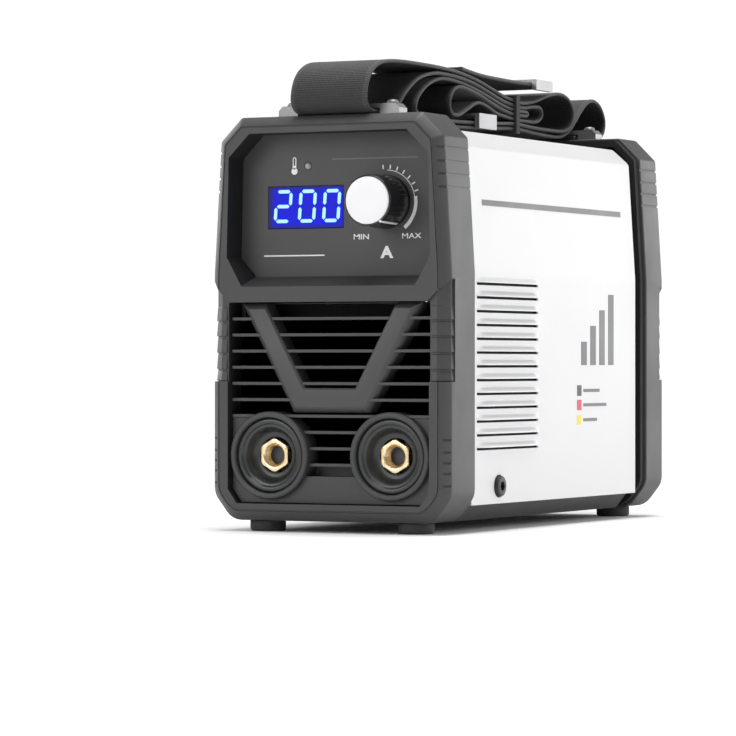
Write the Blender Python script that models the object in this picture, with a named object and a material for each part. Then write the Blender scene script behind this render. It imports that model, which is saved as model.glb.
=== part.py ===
"""A compact stick welding inverter: sheet-metal case between two bumper rings, with its working insides.

Lengths are in metres. Case coordinates: x to the right, y back from the front ring's face, z up from
the floor. Everything hangs from the case_origin empty, which centres the whole machine on the world axes.
"""
import bpy
import bmesh
from math import cos, pi, radians, sin
from mathutils import Matrix, Vector

MM = 0.001
FIT = 0.3 * MM  # clearance between touching pieces
OVERCUT = 1 * MM  # how far a cutter runs past the surface that it cuts

# Bumper rings, front and rear alike
HALF_WIDTH = 59 * MM
HEIGHT = 184.5 * MM
CASE_DEPTH = 246 * MM
RING_DEPTH = 28 * MM
RING_BOTTOM = 4.9 * MM
RING_CHAMFER = 4 * MM
RING_WALL = 4 * MM
LIP_DEPTH = 13.7 * MM  # the part of a ring that the openings pass through
SHOULDER_Z = 115 * MM  # above this the sides lean in
LEAN = 3.5 * MM
TOP_CORNER = 10.5 * MM
LOW_CORNER_X = 9 * MM
LOW_CORNER_Z = 11.5 * MM
SILL_Z = 108.9 * MM  # front edge of the band between the two openings
SILL_RISE = 4.6 * MM
BAND_BOTTOM = 102 * MM
OPENING_BORDER = 9 * MM
OPENING_HALF = HALF_WIDTH - OPENING_BORDER
OPENING_TOP_DROP = 7.5 * MM
OPENING_BOTTOM = 12.5 * MM
WAIST_BOTTOM = 67 * MM
WAIST_TOP = 102 * MM
WAIST_DEPTH = 8 * MM

# Sheet metal
SHEET = 1.0 * MM
COVER_INSET = 2 * MM
COVER_TOP_DROP = 6 * MM
COVER_BOTTOM = 12.2 * MM
SEAL_DEPTH = 5 * MM
SEAL_WALL = 3 * MM
LOUVRES = 13
LOUVRE_PITCH = 6.1 * MM
LOUVRE_GAP = 2.6 * MM
LOUVRE_LENGTH = 65 * MM
LOUVRE_TOP = 112.2 * MM
LOUVRE_FRONT = 34 * MM
TRAY_WALL_TOP = 32 * MM
SIDE_SCREW_Y = 57 * MM
SIDE_SCREW_Z = 20 * MM
SCREW_HEAD_RADIUS = 4.8 * MM
SCREW_SHANK_RADIUS = 2 * MM

FOOT_WIDTH = 25 * MM
FOOT_X = 32.5 * MM

# Control panel
PANEL_Y = LIP_DEPTH + FIT
PANEL_THICKNESS = 2.5 * MM
WINDOW_WIDTH = 38.2 * MM
WINDOW_HEIGHT = 19.1 * MM
WINDOW_X = -18 * MM
WINDOW_Z = HEIGHT - 40.1 * MM
LED_X = -16.8 * MM
LED_Z = HEIGHT - 21.7 * MM
LED_RADIUS = 1.6 * MM
KNOB_X = 22.3 * MM
KNOB_Z = HEIGHT - 38.5 * MM
KNOB_RADIUS = 12 * MM
KNOB_FRONT_RADIUS = 11.3 * MM
KNOB_CAP_RADIUS = 10.4 * MM
KNOB_PROUD = 5.5 * MM  # how far the knob stands out past the ring's face
SHAFT_RADIUS = 3 * MM
SHAFT_END = 7 * MM  # behind the panel's face
BUSHING_RADIUS = 3.9 * MM
CAN_RADIUS = 8.5 * MM
CAN_DEPTH = 9 * MM
DISPLAY_DEPTH = 12 * MM

# Grille and guard
GRILLE_Y = 12 * MM
GRILLE_DEPTH = 8 * MM
GRILLE_RAIL = 2.5 * MM
SLATS = 10
SLAT_PITCH = 7.2 * MM
SLAT_THICKNESS = 1.4 * MM
SLAT_TOP_Z = 94.7 * MM
SOCKET_PLATE_Y = 4 * MM
SOCKET_PLATE_TOP = 51.5 * MM
SOCKET_GAP_HALF = 8.5 * MM
BRACE_Y = 2 * MM
BRACE_TOP_HALF = 45 * MM
BRACE_BASE_HALF = 19 * MM
BRACE_BASE_Z = 53 * MM
BRACE_BAR = 11 * MM
BRACE_DRAFT = 2 * MM

# Output sockets
SOCKET_X = 30 * MM
SOCKET_Z = 34 * MM
COLLAR_WALL = 3 * MM
COLLAR_Y = 1 * MM
FLANGE_RADIUS = 16.5 * MM
COLLAR_RADIUS = FLANGE_RADIUS + COLLAR_WALL
FLANGE_Y = 2.5 * MM
CUP_RADIUS = 13 * MM
CUP_FLOOR_RADIUS = 9.5 * MM
CUP_DEPTH = 6 * MM
SHANK_RADIUS = 12 * MM
SHANK_END = 32 * MM
SOCKET_NUT_WALL = 5 * MM
SOCKET_NUT_DEPTH = 6 * MM
CONTACT_HEX_RADIUS = 7.8 * MM
CONTACT_RADIUS = 6.2 * MM
CONTACT_BORE = 4.75 * MM
CONTACT_BORE_END = 31 * MM
CONTACT_END = 37 * MM

# Rear panel
SWITCH_X = 24 * MM
SWITCH_Z = HEIGHT - 38.5 * MM
SWITCH_WIDTH = 26 * MM
SWITCH_HEIGHT = 31 * MM
ROCKER_TILT = radians(-9)
GLAND_X = 24 * MM
GLAND_Z = HEIGHT - 40.5 * MM
GLAND_RADIUS = 11 * MM
GLAND_BORE = 4.5 * MM
GLAND_LENGTH = 21 * MM

# Strap
BRACKET_DEPTH = 8 * MM
BRACKET_HALF = 30 * MM
BRACKET_THICKNESS = 2 * MM
BRACKET_PLAY = 1.1 * MM  # over the webbing
FRONT_BRACKET_Y = 15 * MM
REAR_BRACKET_Y = CASE_DEPTH - FRONT_BRACKET_Y
BRACKET_SCREW_X = 25 * MM
ROUTE_DEPTH = 246 * MM  # the case depth that the strap's points are drawn for
STRAP_WIDTH = 38 * MM
STRAP_THICKNESS = 1.5 * MM
TIE_Y = 157 * MM
BUCKLES = (("front", 120 * MM, -0.5 * MM, 6.5 * MM), ("rear", 184 * MM, 21.5 * MM, 26.5 * MM))

# Insides
FAN_SIZE = 92 * MM
FAN_DEPTH = 25 * MM
FAN_Z = 57 * MM
FAN_REAR = CASE_DEPTH - 24 * MM
FAN_BLADES = 7
FAN_BORE = 43.5 * MM
FAN_HUB = 17 * MM
BOARD_THICKNESS = 1.6 * MM
MAIN_BOARD_HALF = 46 * MM
MAIN_BOARD_FRONT = 40 * MM
MAIN_BOARD_REAR = 192 * MM
BOSS_HEIGHT = 6 * MM
BOSS_WIDTH = 8 * MM
BOSS_X = 40 * MM
BOSS_FRONT = 50 * MM
BOSS_REAR = 180 * MM
SINK_NEAR = 20 * MM
SINK_FAR = 48 * MM
SINK_FRONT = 64 * MM
SINK_REAR = 150 * MM
SINK_HEIGHT = 62 * MM
SINK_WEB = 4 * MM
FINS = 8
FIN_PITCH = 8.2 * MM
FIN_GAP = 5.4 * MM
CAPACITOR_Y = 171 * MM
CORE_HALF = 17 * MM
CORE_FRONT = 66 * MM
CORE_REAR = 104 * MM
CORE_HEIGHT = 44 * MM
CORE_LEG = 6 * MM
CHOKE_Y = 126 * MM
CAPACITOR_RADIUS = 12.5 * MM
CAPACITOR_HEIGHT = 45 * MM

# Points of the folded webbing, chosen by hand, from its front end to its rear end: depth, and height above
# the rings' tops
STRAP_ROUTE = [
    (22, 1.4), (15, 1.4), (7, 1.7), (2.6, 4.1), (1.4, 8.5), (4, 15.5), (10, 20.9), (20, 24.1),
    (38, 25.3), (66, 25.4), (84, 25), (100, 24), (116, 22.1), (131, 19.4), (145, 16.7), (157, 15.2),
    (168, 14.6), (182, 16.5), (196, 19.9), (209, 21.7), (219, 20.5), (225, 16.5), (226.6, 11.5),
    (223, 6.1), (214, 3.7), (200, 3.4), (178, 3.6), (157, 4.2), (131, 2.9), (110, 2.1), (84, 1.5),
    (66, 1.5), (55, 2.5), (51, 5.8), (55, 11.5), (66, 17.5), (80, 20.6), (98, 19.9), (114, 17.9),
    (131, 14.8), (145, 12.1), (157, 10.8), (166, 10.5), (171, 10.5), (172.6, 9.7), (171, 8.7),
    (166, 8.6), (157, 8.6), (145, 9.9), (131, 12.5), (116, 15.7), (100, 17.8), (92, 16.9), (87, 13.1),
    (85.6, 8.3), (89, 4.9), (96, 4.9), (105, 8.1), (116, 11.7), (127, 10.4), (138, 7.9), (157, 6.4),
    (170, 6.2), (182, 6.5), (188, 8.5), (189.4, 11.5), (186.4, 13.8), (178, 13.5), (168, 12.4),
    (157, 13), (145, 14.4), (131, 17.1), (114, 20.3), (98, 22.1), (82, 22.4), (70, 20.3), (54, 14.1),
    (40, 7.5), (33, 4.5), (30.4, 2.7), (32.4, 1.2), (40, 0.5), (60, -0.9), (84, -1), (120, 0.1),
    (157, 1.9), (180, 1.1), (200, 0.6), (212, 1), (221, 3.9), (228, 8.5), (235, 14.1), (243, 19.1),
    (251, 20.9), (259, 18.5), (264.2, 12.5), (263.4, 6.5), (258, 2.5), (248, 1.4), (238, 1.4),
    (231, 1.4), (225, 1.4),
]
TAIL_ROUTE = [(99, 26.5), (120, 24.7), (150, 24.1), (178, 24.1), (196, 23.9)]


def clear_scene():
    for item in list(bpy.data.objects):
        bpy.data.objects.remove(item, do_unlink=True)


def material(name, colour, roughness, metallic=0.0, alpha=1.0):
    made = bpy.data.materials.get(name) or bpy.data.materials.new(name)
    made.use_nodes = True
    shader = made.node_tree.nodes["Principled BSDF"]
    shader.inputs["Base Color"].default_value = (*colour, 1)
    shader.inputs["Roughness"].default_value = roughness
    shader.inputs["Metallic"].default_value = metallic
    shader.inputs["Alpha"].default_value = alpha
    return made


def dark_plastic():
    return material("dark_plastic", (0.075, 0.077, 0.08), 0.55)


def black_plastic():
    return material("black_plastic", (0.02, 0.02, 0.022), 0.45)


def white_enamel():
    return material("white_enamel", (0.86, 0.86, 0.87), 0.35)


def plated_steel():
    return material("plated_steel", (0.6, 0.61, 0.63), 0.3, 1.0)


def brass():
    return material("brass", (0.78, 0.56, 0.24), 0.25, 1.0)


def copper():
    return material("copper", (0.72, 0.38, 0.24), 0.3, 1.0)


def circuit_green():
    return material("circuit_green", (0.03, 0.18, 0.08), 0.5)


def webbing():
    return material("webbing", (0.025, 0.025, 0.027), 0.85)


# ---------------------------------------------------------------- shapes
def place(name, bm, surface, parent):
    bmesh.ops.recalc_face_normals(bm, faces=bm.faces)
    bmesh.ops.triangulate(bm, faces=bm.faces)
    mesh = bpy.data.meshes.new(name)
    bm.to_mesh(mesh)
    bm.free()
    made = bpy.data.objects.new(name, mesh)
    bpy.context.collection.objects.link(made)
    mesh.materials.append(surface)
    made.parent = parent
    return made


def loft(sections):
    """A closed solid through outlines of (x, z) points, each at its own depth y."""
    bm = bmesh.new()
    rings = [[bm.verts.new((x, y, z)) for x, z in outline] for y, outline in sections]
    for near, far in zip(rings, rings[1:]):
        for i, corner in enumerate(near):
            following = (i + 1) % len(near)
            bm.faces.new((corner, near[following], far[following], far[i]))
    bm.faces.new(reversed(rings[0]))
    bm.faces.new(rings[-1])
    return bm


def prism(outline, front, back):
    return loft([(front, outline), (back, outline)])


def block(x, y, z):
    """A box from its three (low, high) ranges."""
    return prism([(x[0], z[0]), (x[1], z[0]), (x[1], z[1]), (x[0], z[1])], *y)


def across(profile, left, right):
    """A solid along x between two places, from its outline of (y, z) points."""
    bm = bmesh.new()
    ends = [[bm.verts.new((x, y, z)) for y, z in profile] for x in (left, right)]
    bm.faces.new(ends[0])
    bm.faces.new(reversed(ends[1]))
    for i in range(len(profile)):
        following = (i + 1) % len(profile)
        bm.faces.new((ends[0][i], ends[0][following], ends[1][following], ends[1][i]))
    return bm


def circle(radius, sides=32, x=0.0, z=0.0, turn=0.0):
    angles = [turn + 2 * pi * i / sides for i in range(sides)]
    return [(x + radius * cos(a), z + radius * sin(a)) for a in angles]


def turned(profile, x=0.0, z=0.0, sides=32):
    """A solid of revolution about the y axis through (x, z), from (radius, y) points."""
    return loft([(y, circle(radius, sides, x, z)) for radius, y in profile])


def turned_ring(profile, x=0.0, z=0.0, sides=32):
    """A ring about the y axis, from a closed profile of (radius, y) points."""
    bm = bmesh.new()
    rings = [[bm.verts.new((a, y, b)) for a, b in circle(radius, sides, x, z)]
             for radius, y in profile]
    for near, far in zip(rings, rings[1:] + rings[:1]):
        for i in range(sides):
            following = (i + 1) % sides
            bm.faces.new((near[i], near[following], far[following], far[i]))
    return bm


def shell(outer, inner, front, back):
    """A tube between two outlines with the same number of points."""
    bm = bmesh.new()
    rings = [[bm.verts.new((x, y, z)) for x, z in outline]
             for outline, y in ((outer, front), (outer, back), (inner, back), (inner, front))]
    for near, far in zip(rings, rings[1:] + rings[:1]):
        for i in range(len(near)):
            following = (i + 1) % len(near)
            bm.faces.new((near[i], near[following], far[following], far[i]))
    return bm


def mirrored(half):
    """A closed outline from its right half, listed from the bottom to the top."""
    return half + [(-x, z) for x, z in reversed(half)]


def inset(outline, distance):
    """A convex outline moved inwards, its sides kept parallel."""
    moved = []
    for i, corner in enumerate(outline):
        following = outline[(i + 1) % len(outline)]
        before, here, after = Vector(outline[i - 1]), Vector(corner), Vector(following)
        along_in, along_out = (here - before).normalized(), (after - here).normalized()
        normal_in, normal_out = Vector((-along_in.y, along_in.x)), Vector((-along_out.y, along_out.x))
        middle = (normal_in + normal_out).normalized()
        point = here + middle * distance / middle.dot(normal_in)
        moved.append((point.x, point.y))
    return moved


def combine(target, tool_mesh, operation):
    """Cuts or joins one mesh and applies it at once, so that no helper object is left."""
    tool = place("tool", tool_mesh, target.data.materials[0], target.parent)
    tool.matrix_basis = target.matrix_basis
    step = target.modifiers.new(operation.lower(), "BOOLEAN")
    step.operation = operation
    step.object = tool
    bpy.context.view_layer.update()
    result = bpy.data.meshes.new_from_object(target.evaluated_get(bpy.context.evaluated_depsgraph_get()))
    target.modifiers.remove(step)
    target.data = result
    bpy.data.objects.remove(tool, do_unlink=True)
    return target


def cut(target, tool_mesh):
    return combine(target, tool_mesh, "DIFFERENCE")


def join(target, tool_mesh):
    return combine(target, tool_mesh, "UNION")


def face_rear(piece):
    """Turns a piece that was built at the front ring round to the rear ring."""
    piece.location.y = CASE_DEPTH
    piece.rotation_euler.z = pi
    return piece


# ---------------------------------------------------------------- bumper rings
def ring_outline():
    return mirrored([
        (HALF_WIDTH - LOW_CORNER_X, RING_BOTTOM), (HALF_WIDTH, RING_BOTTOM + LOW_CORNER_Z),
        (HALF_WIDTH, SHOULDER_Z), (HALF_WIDTH - LEAN, HEIGHT - TOP_CORNER),
        (HALF_WIDTH - LEAN - TOP_CORNER, HEIGHT),
    ])


def upper_opening(bottom):
    top = HEIGHT - OPENING_TOP_DROP
    return mirrored([
        (OPENING_HALF - 7 * MM, bottom), (OPENING_HALF + 0.5 * MM, SILL_Z + 13 * MM),
        (OPENING_HALF - 0.5 * MM, top - TOP_CORNER), (OPENING_HALF - 0.5 * MM - TOP_CORNER, top),
    ])


def lower_opening():
    return mirrored([
        (OPENING_HALF - 4.5 * MM, OPENING_BOTTOM), (OPENING_HALF, OPENING_BOTTOM + 6.3 * MM),
        (OPENING_HALF, BAND_BOTTOM),
    ])


def bumper_ring(name, parent):
    outline = ring_outline()
    sections = [(0, inset(outline, RING_CHAMFER)), (RING_CHAMFER, outline), (RING_DEPTH, outline)]
    ring = place(name, loft(sections), dark_plastic(), parent)
    cut(ring, prism(inset(outline, RING_WALL), LIP_DEPTH, RING_DEPTH + OVERCUT))
    slope = SILL_RISE / LIP_DEPTH
    cut(ring, loft([(-OVERCUT, upper_opening(SILL_Z - slope * OVERCUT)),
                    (LIP_DEPTH + OVERCUT, upper_opening(SILL_Z + slope * (LIP_DEPTH + OVERCUT)))]))
    cut(ring, prism(lower_opening(), -OVERCUT, LIP_DEPTH + OVERCUT))
    for side in (-1, 1):
        cut(ring, waist_cutter(side))
    return ring


def waist_cutter(side):
    """The deeper corner between the upper and the lower bumper."""
    edge = HALF_WIDTH - RING_CHAMFER - 0.4 * MM
    far = HALF_WIDTH + OVERCUT
    slope = (HALF_WIDTH - edge) / WAIST_DEPTH
    bm = bmesh.new()
    plan = [(edge - slope * OVERCUT, -OVERCUT), (far, -OVERCUT), (far, WAIST_DEPTH + OVERCUT / slope)]
    layers = [[bm.verts.new((side * x, y, z)) for x, y in plan] for z in (WAIST_BOTTOM, WAIST_TOP)]
    bm.faces.new(layers[0])
    bm.faces.new(reversed(layers[1]))
    for i in range(3):
        following = (i + 1) % 3
        bm.faces.new((layers[0][i], layers[0][following], layers[1][following], layers[1][i]))
    return bm


def foot(name, parent, side, front):
    width = FOOT_WIDTH / 2
    inner = [(FOOT_X * side - width + 2 * MM, 0), (FOOT_X * side + width - 2 * MM, 0),
             (FOOT_X * side + width, 2 * MM), (FOOT_X * side + width, RING_BOTTOM - FIT),
             (FOOT_X * side - width, RING_BOTTOM - FIT), (FOOT_X * side - width, 2 * MM)]
    return place(name, prism(inner, front, front + RING_DEPTH - 2 * RING_CHAMFER), black_plastic(), parent)


# ---------------------------------------------------------------- sheet metal
def cover_half(shrink=0.0):
    """Right half of the cover's section, from the bottom edge to the top."""
    side = HALF_WIDTH - COVER_INSET - shrink
    top = HEIGHT - COVER_TOP_DROP - shrink
    return [(side, COVER_BOTTOM), (side, SHOULDER_Z), (side - LEAN, top - TOP_CORNER + 3 * MM),
            (side - LEAN - TOP_CORNER + 2 * MM, top)]


def sheet_arch(wall, shrink=0.0):
    outer = cover_half(shrink)
    inner = cover_half(shrink + wall)
    return mirrored(outer) + [(-x, z) for x, z in inner] + list(reversed(inner))


def top_cover(parent):
    sheet = prism(sheet_arch(SHEET), RING_DEPTH + FIT, CASE_DEPTH - RING_DEPTH - SEAL_DEPTH)
    cover = place("top_cover", sheet, white_enamel(), parent)
    side = HALF_WIDTH + OVERCUT
    run = (LOUVRE_FRONT, LOUVRE_FRONT + LOUVRE_LENGTH)
    for number in range(LOUVRES):
        top = LOUVRE_TOP - number * LOUVRE_PITCH
        cut(cover, block((-side, side), run, (top - LOUVRE_GAP, top)))
    cut(cover, screw_bar(SCREW_SHANK_RADIUS + FIT, -side, side))
    return cover


def screw_bar(radius, start, end, sides=20):
    """A round bar along x at the side screws' place."""
    bm = bmesh.new()
    bmesh.ops.create_cone(bm, cap_ends=True, segments=sides, radius1=radius, radius2=radius,
                          depth=end - start)
    bmesh.ops.rotate(bm, verts=bm.verts, matrix=Matrix.Rotation(pi / 2, 3, "Y"))
    bmesh.ops.translate(bm, verts=bm.verts, vec=((start + end) / 2, SIDE_SCREW_Y, SIDE_SCREW_Z))
    return bm


def base_tray(parent):
    side = HALF_WIDTH - COVER_INSET - SHEET - FIT
    floor = RING_BOTTOM
    bend = floor + LOW_CORNER_Z
    outer = [(side - LOW_CORNER_X, floor), (side, bend), (side, TRAY_WALL_TOP)]
    inner = [(side - LOW_CORNER_X - SHEET / 2, floor + SHEET), (side - SHEET, bend),
             (side - SHEET, TRAY_WALL_TOP)]
    section = mirrored(outer + list(reversed(inner)))
    tray = place("base_tray", prism(section, RING_DEPTH + FIT, CASE_DEPTH - RING_DEPTH - SEAL_DEPTH),
                 dark_plastic(), parent)
    half = BOSS_WIDTH / 2
    heights = (floor + SHEET / 2, floor + SHEET + BOSS_HEIGHT)
    for x in (-BOSS_X, BOSS_X):
        for y in (BOSS_FRONT, BOSS_REAR):
            join(tray, block((x - half, x + half), (y - half, y + half), heights))
    cut(tray, screw_bar(SCREW_SHANK_RADIUS + FIT, -HALF_WIDTH, HALF_WIDTH))
    return tray


def rear_seal(parent):
    """Gasket all the way round, between the cover and the rear ring."""
    back = CASE_DEPTH - RING_DEPTH - FIT
    outer = inset(ring_outline(), COVER_INSET + SHEET)
    return place("rear_seal", shell(outer, inset(outer, SEAL_WALL), back - SEAL_DEPTH + 2 * FIT, back),
                 black_plastic(), parent)


def side_screw(name, parent, side):
    skin = HALF_WIDTH - COVER_INSET
    tip, end = sorted((side * (skin - 8 * MM), side * (skin + 1 * MM)))
    screw = place(name, screw_bar(SCREW_SHANK_RADIUS, tip, end), black_plastic(), parent)
    near, far = sorted((side * (skin + FIT), side * (skin + 1.8 * MM)))
    return join(screw, screw_bar(SCREW_HEAD_RADIUS, near, far))


# ---------------------------------------------------------------- control panel
def panel_plate(name, parent):
    """The plate behind a ring's upper opening."""
    edge = HALF_WIDTH - RING_WALL - FIT
    top = HEIGHT - RING_WALL - FIT
    outline = mirrored([(edge, BAND_BOTTOM + 2 * MM), (edge, SHOULDER_Z), (edge - LEAN, top - TOP_CORNER),
                        (edge - LEAN - TOP_CORNER, top)])
    return place(name, prism(outline, PANEL_Y, PANEL_Y + PANEL_THICKNESS), dark_plastic(), parent)


def control_panel(parent):
    panel = panel_plate("control_panel", parent)
    depth = (PANEL_Y - OVERCUT, PANEL_Y + PANEL_THICKNESS + OVERCUT)
    cut(panel, window_block(0, depth))
    cut(panel, prism(circle(LED_RADIUS + FIT, 16, LED_X, LED_Z), *depth))
    cut(panel, prism(circle(BUSHING_RADIUS + FIT, 24, KNOB_X, KNOB_Z), *depth))
    return panel


def window_block(shrink, depth):
    half_width, half_height = WINDOW_WIDTH / 2 - shrink, WINDOW_HEIGHT / 2 - shrink
    return block((WINDOW_X - half_width, WINDOW_X + half_width), depth,
                 (WINDOW_Z - half_height, WINDOW_Z + half_height))


def display(parent):
    place("display_window", window_block(FIT, (PANEL_Y - 0.4 * MM, PANEL_Y + 1.6 * MM)),
          material("display_blue", (0.02, 0.03, 0.35), 0.2), parent)
    place("display_module", window_block(FIT, (PANEL_Y + 1.6 * MM + FIT, PANEL_Y + DISPLAY_DEPTH)),
          black_plastic(), parent)


def temperature_led(parent):
    front = PANEL_Y - 0.8 * MM
    profile = [(LED_RADIUS * 0.6, front), (LED_RADIUS, front + 0.7 * MM), (LED_RADIUS, PANEL_Y + 6 * MM)]
    lens = turned(profile, LED_X, LED_Z, 16)
    place("temperature_led", lens, material("led_lens", (0.35, 0.33, 0.3), 0.25), parent)


def on_axis(parent, name, y):
    """An empty on the control knob's axis; its pieces are built about the y axis through it."""
    axis = bpy.data.objects.new(name, None)
    bpy.context.collection.objects.link(axis)
    axis.parent = parent
    axis.location = (KNOB_X, y, KNOB_Z)
    return axis


def knob(parent):
    """Knob, cap and shaft, built about their common axis; y is measured from the ring's face."""
    axis = on_axis(parent, "knob_axis", 0)
    front, back = -KNOB_PROUD + 1 * MM, PANEL_Y - 0.6 * MM
    pocket = KNOB_CAP_RADIUS + FIT
    edge = 0.6 * MM
    skirt = [(KNOB_FRONT_RADIUS - edge, front), (KNOB_FRONT_RADIUS, front + edge), (KNOB_RADIUS, back)]
    body = place("knob_body", turned(skirt, sides=48), black_plastic(), axis)
    cut(body, turned([(pocket, front - OVERCUT), (pocket, front + 1.2 * MM)], sides=48))
    cut(body, turned([(7.5 * MM, back - 3.4 * MM), (7.5 * MM, back + OVERCUT)]))
    cut(body, turned([(SHAFT_RADIUS + FIT, front + 4 * MM), (SHAFT_RADIUS + FIT, back)], sides=24))
    cap = [(KNOB_CAP_RADIUS - 0.5 * MM, -KNOB_PROUD), (KNOB_CAP_RADIUS, -KNOB_PROUD + 0.5 * MM),
           (KNOB_CAP_RADIUS, front + 1.2 * MM - FIT)]
    place("knob_cap", turned(cap, sides=48), material("cap_white", (0.85, 0.85, 0.86), 0.35), axis)
    shaft = [(SHAFT_RADIUS, front + 4 * MM + FIT), (SHAFT_RADIUS, PANEL_Y + SHAFT_END)]
    place("potentiometer_shaft", turned(shaft, sides=24), plated_steel(), axis)
    return axis


def potentiometer(parent):
    can_front = PANEL_Y + PANEL_THICKNESS + FIT
    can = [(BUSHING_RADIUS, PANEL_Y - 3 * MM), (BUSHING_RADIUS, can_front), (CAN_RADIUS, can_front),
           (CAN_RADIUS, can_front + CAN_DEPTH)]
    body = place("potentiometer_body", turned(can, KNOB_X, KNOB_Z), plated_steel(), parent)
    bore = [(SHAFT_RADIUS + FIT, PANEL_Y - 4 * MM), (SHAFT_RADIUS + FIT, PANEL_Y + SHAFT_END + FIT)]
    cut(body, turned(bore, KNOB_X, KNOB_Z, 24))
    hexagon = circle(BUSHING_RADIUS + 2.3 * MM, 6, KNOB_X, KNOB_Z)
    nut = place("potentiometer_nut", prism(hexagon, PANEL_Y - 2.4 * MM, PANEL_Y - FIT),
                plated_steel(), parent)
    cut(nut, turned([(BUSHING_RADIUS + FIT, 0), (BUSHING_RADIUS + FIT, PANEL_Y)], KNOB_X, KNOB_Z, 24))


def control_board(parent):
    front = PANEL_Y + DISPLAY_DEPTH + 0.5 * MM
    edge = HALF_WIDTH - 15 * MM
    board = block((-edge, edge), (front, front + BOARD_THICKNESS),
                  (SHOULDER_Z + 3 * MM, HEIGHT - 14.5 * MM))
    place("control_board", board, circuit_green(), parent)


# ---------------------------------------------------------------- grille, guard and sockets
def cut_slat_gaps(panel, half, below=None):
    """Opens the gaps between the slats to half a width, all of them or those below a height."""
    gap = SLAT_PITCH - SLAT_THICKNESS
    for number in range(SLATS - 1):
        middle = SLAT_TOP_Z - (number + 0.5) * SLAT_PITCH
        if below is None or middle < below:
            cut(panel, block((-half, half), (GRILLE_Y - OVERCUT, GRILLE_Y + GRILLE_DEPTH + OVERCUT),
                             (middle - gap / 2, middle + gap / 2)))
    return panel


def slatted_panel(name, parent):
    """Horizontal slats in a frame that fits a ring's lower opening."""
    outline = inset(lower_opening(), FIT)
    panel = place(name, prism(outline, GRILLE_Y, GRILLE_Y + GRILLE_DEPTH), dark_plastic(), parent)
    return cut_slat_gaps(panel, OPENING_HALF - GRILLE_RAIL)


def grille_panel(parent):
    """The front slats, with a plate in front of the lower ones that carries the socket collars."""
    panel = slatted_panel("grille_panel", parent)
    low = OPENING_BOTTOM + FIT
    edge = OPENING_HALF - FIT
    plate = mirrored([(edge - 4.5 * MM, low), (edge, low + 6.3 * MM), (edge, SOCKET_PLATE_TOP)])
    join(panel, prism(plate, SOCKET_PLATE_Y, GRILLE_Y + GRILLE_DEPTH))
    bottom_slat = SLAT_TOP_Z - (SLATS - 1) * SLAT_PITCH - 5 * MM
    cut(panel, block((-SOCKET_GAP_HALF, SOCKET_GAP_HALF), (SOCKET_PLATE_Y - OVERCUT, GRILLE_Y),
                     (bottom_slat, SOCKET_PLATE_TOP + OVERCUT)))
    cut_slat_gaps(panel, SOCKET_GAP_HALF, SOCKET_PLATE_TOP)
    for x in (-SOCKET_X, SOCKET_X):
        join(panel, prism(circle(COLLAR_RADIUS, 48, x, SOCKET_Z), COLLAR_Y, GRILLE_Y + OVERCUT))
        cut(panel, prism(circle(FLANGE_RADIUS + FIT, 48, x, SOCKET_Z), COLLAR_Y - OVERCUT, GRILLE_Y))
        cut(panel, prism(circle(SHANK_RADIUS + FIT, 32, x, SOCKET_Z), GRILLE_Y - OVERCUT,
                         GRILLE_Y + GRILLE_DEPTH + OVERCUT))
    return panel


def guard_brace(parent):
    """A plain inverted-trapezoid guard bar in front of the slats."""
    top = BAND_BOTTOM - FIT
    outer = mirrored([(BRACE_BASE_HALF, BRACE_BASE_Z), (BRACE_TOP_HALF, top)])
    sections = [(BRACE_Y, inset(outer, BRACE_DRAFT)), (BRACE_Y + BRACE_DRAFT, outer),
                (GRILLE_Y - FIT, outer)]
    brace = place("guard_brace", loft(sections), dark_plastic(), parent)
    run = (BRACE_TOP_HALF - BRACE_BASE_HALF) / (top - BRACE_BASE_Z)
    low = BRACE_BASE_Z + BRACE_BAR
    half_low = BRACE_BASE_HALF + run * BRACE_BAR - BRACE_BAR * (1 + run * run) ** 0.5
    half_high = half_low + run * (top + OVERCUT - low)
    hole = mirrored([(half_low, low), (half_high, top + OVERCUT)])
    return cut(brace, prism(hole, BRACE_Y - OVERCUT, GRILLE_Y + OVERCUT))


def socket(parent, side, suffix):
    x = side * SOCKET_X
    floor = FLANGE_Y + CUP_DEPTH
    body = place("socket_body_" + suffix, turned([
        (FLANGE_RADIUS, FLANGE_Y), (FLANGE_RADIUS, GRILLE_Y - FIT), (SHANK_RADIUS, GRILLE_Y - FIT),
        (SHANK_RADIUS, SHANK_END)], x, SOCKET_Z, 40), black_plastic(), parent)
    cup = [(CUP_RADIUS + OVERCUT / 2, FLANGE_Y - OVERCUT), (CUP_FLOOR_RADIUS, floor)]
    cut(body, turned(cup, x, SOCKET_Z, 40))
    seat = CONTACT_HEX_RADIUS + FIT
    cut(body, turned([(seat, floor - OVERCUT), (seat, SHANK_END + OVERCUT)], x, SOCKET_Z))
    hexagon = circle(CONTACT_HEX_RADIUS, 6, x, SOCKET_Z, pi / 2)
    contact = place("socket_contact_" + suffix, prism(hexagon, floor - 2 * MM, floor + 3 * MM),
                    brass(), parent)
    join(contact, turned([(CONTACT_RADIUS, floor + 2 * MM), (CONTACT_RADIUS, CONTACT_END)], x, SOCKET_Z))
    bore = [(CONTACT_BORE, floor - 3 * MM), (CONTACT_BORE, CONTACT_BORE_END)]
    cut(contact, turned(bore, x, SOCKET_Z, 24))
    back = GRILLE_Y + GRILLE_DEPTH + FIT
    hexagon = circle(SHANK_RADIUS + SOCKET_NUT_WALL, 6, x, SOCKET_Z, pi / 6)
    end = back + SOCKET_NUT_DEPTH
    nut = place("socket_nut_" + suffix, prism(hexagon, back, end), black_plastic(), parent)
    bore = SHANK_RADIUS + FIT
    cut(nut, turned([(bore, back - OVERCUT), (bore, end + OVERCUT)], x, SOCKET_Z))
    bus_bar(parent, x, suffix)


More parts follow.
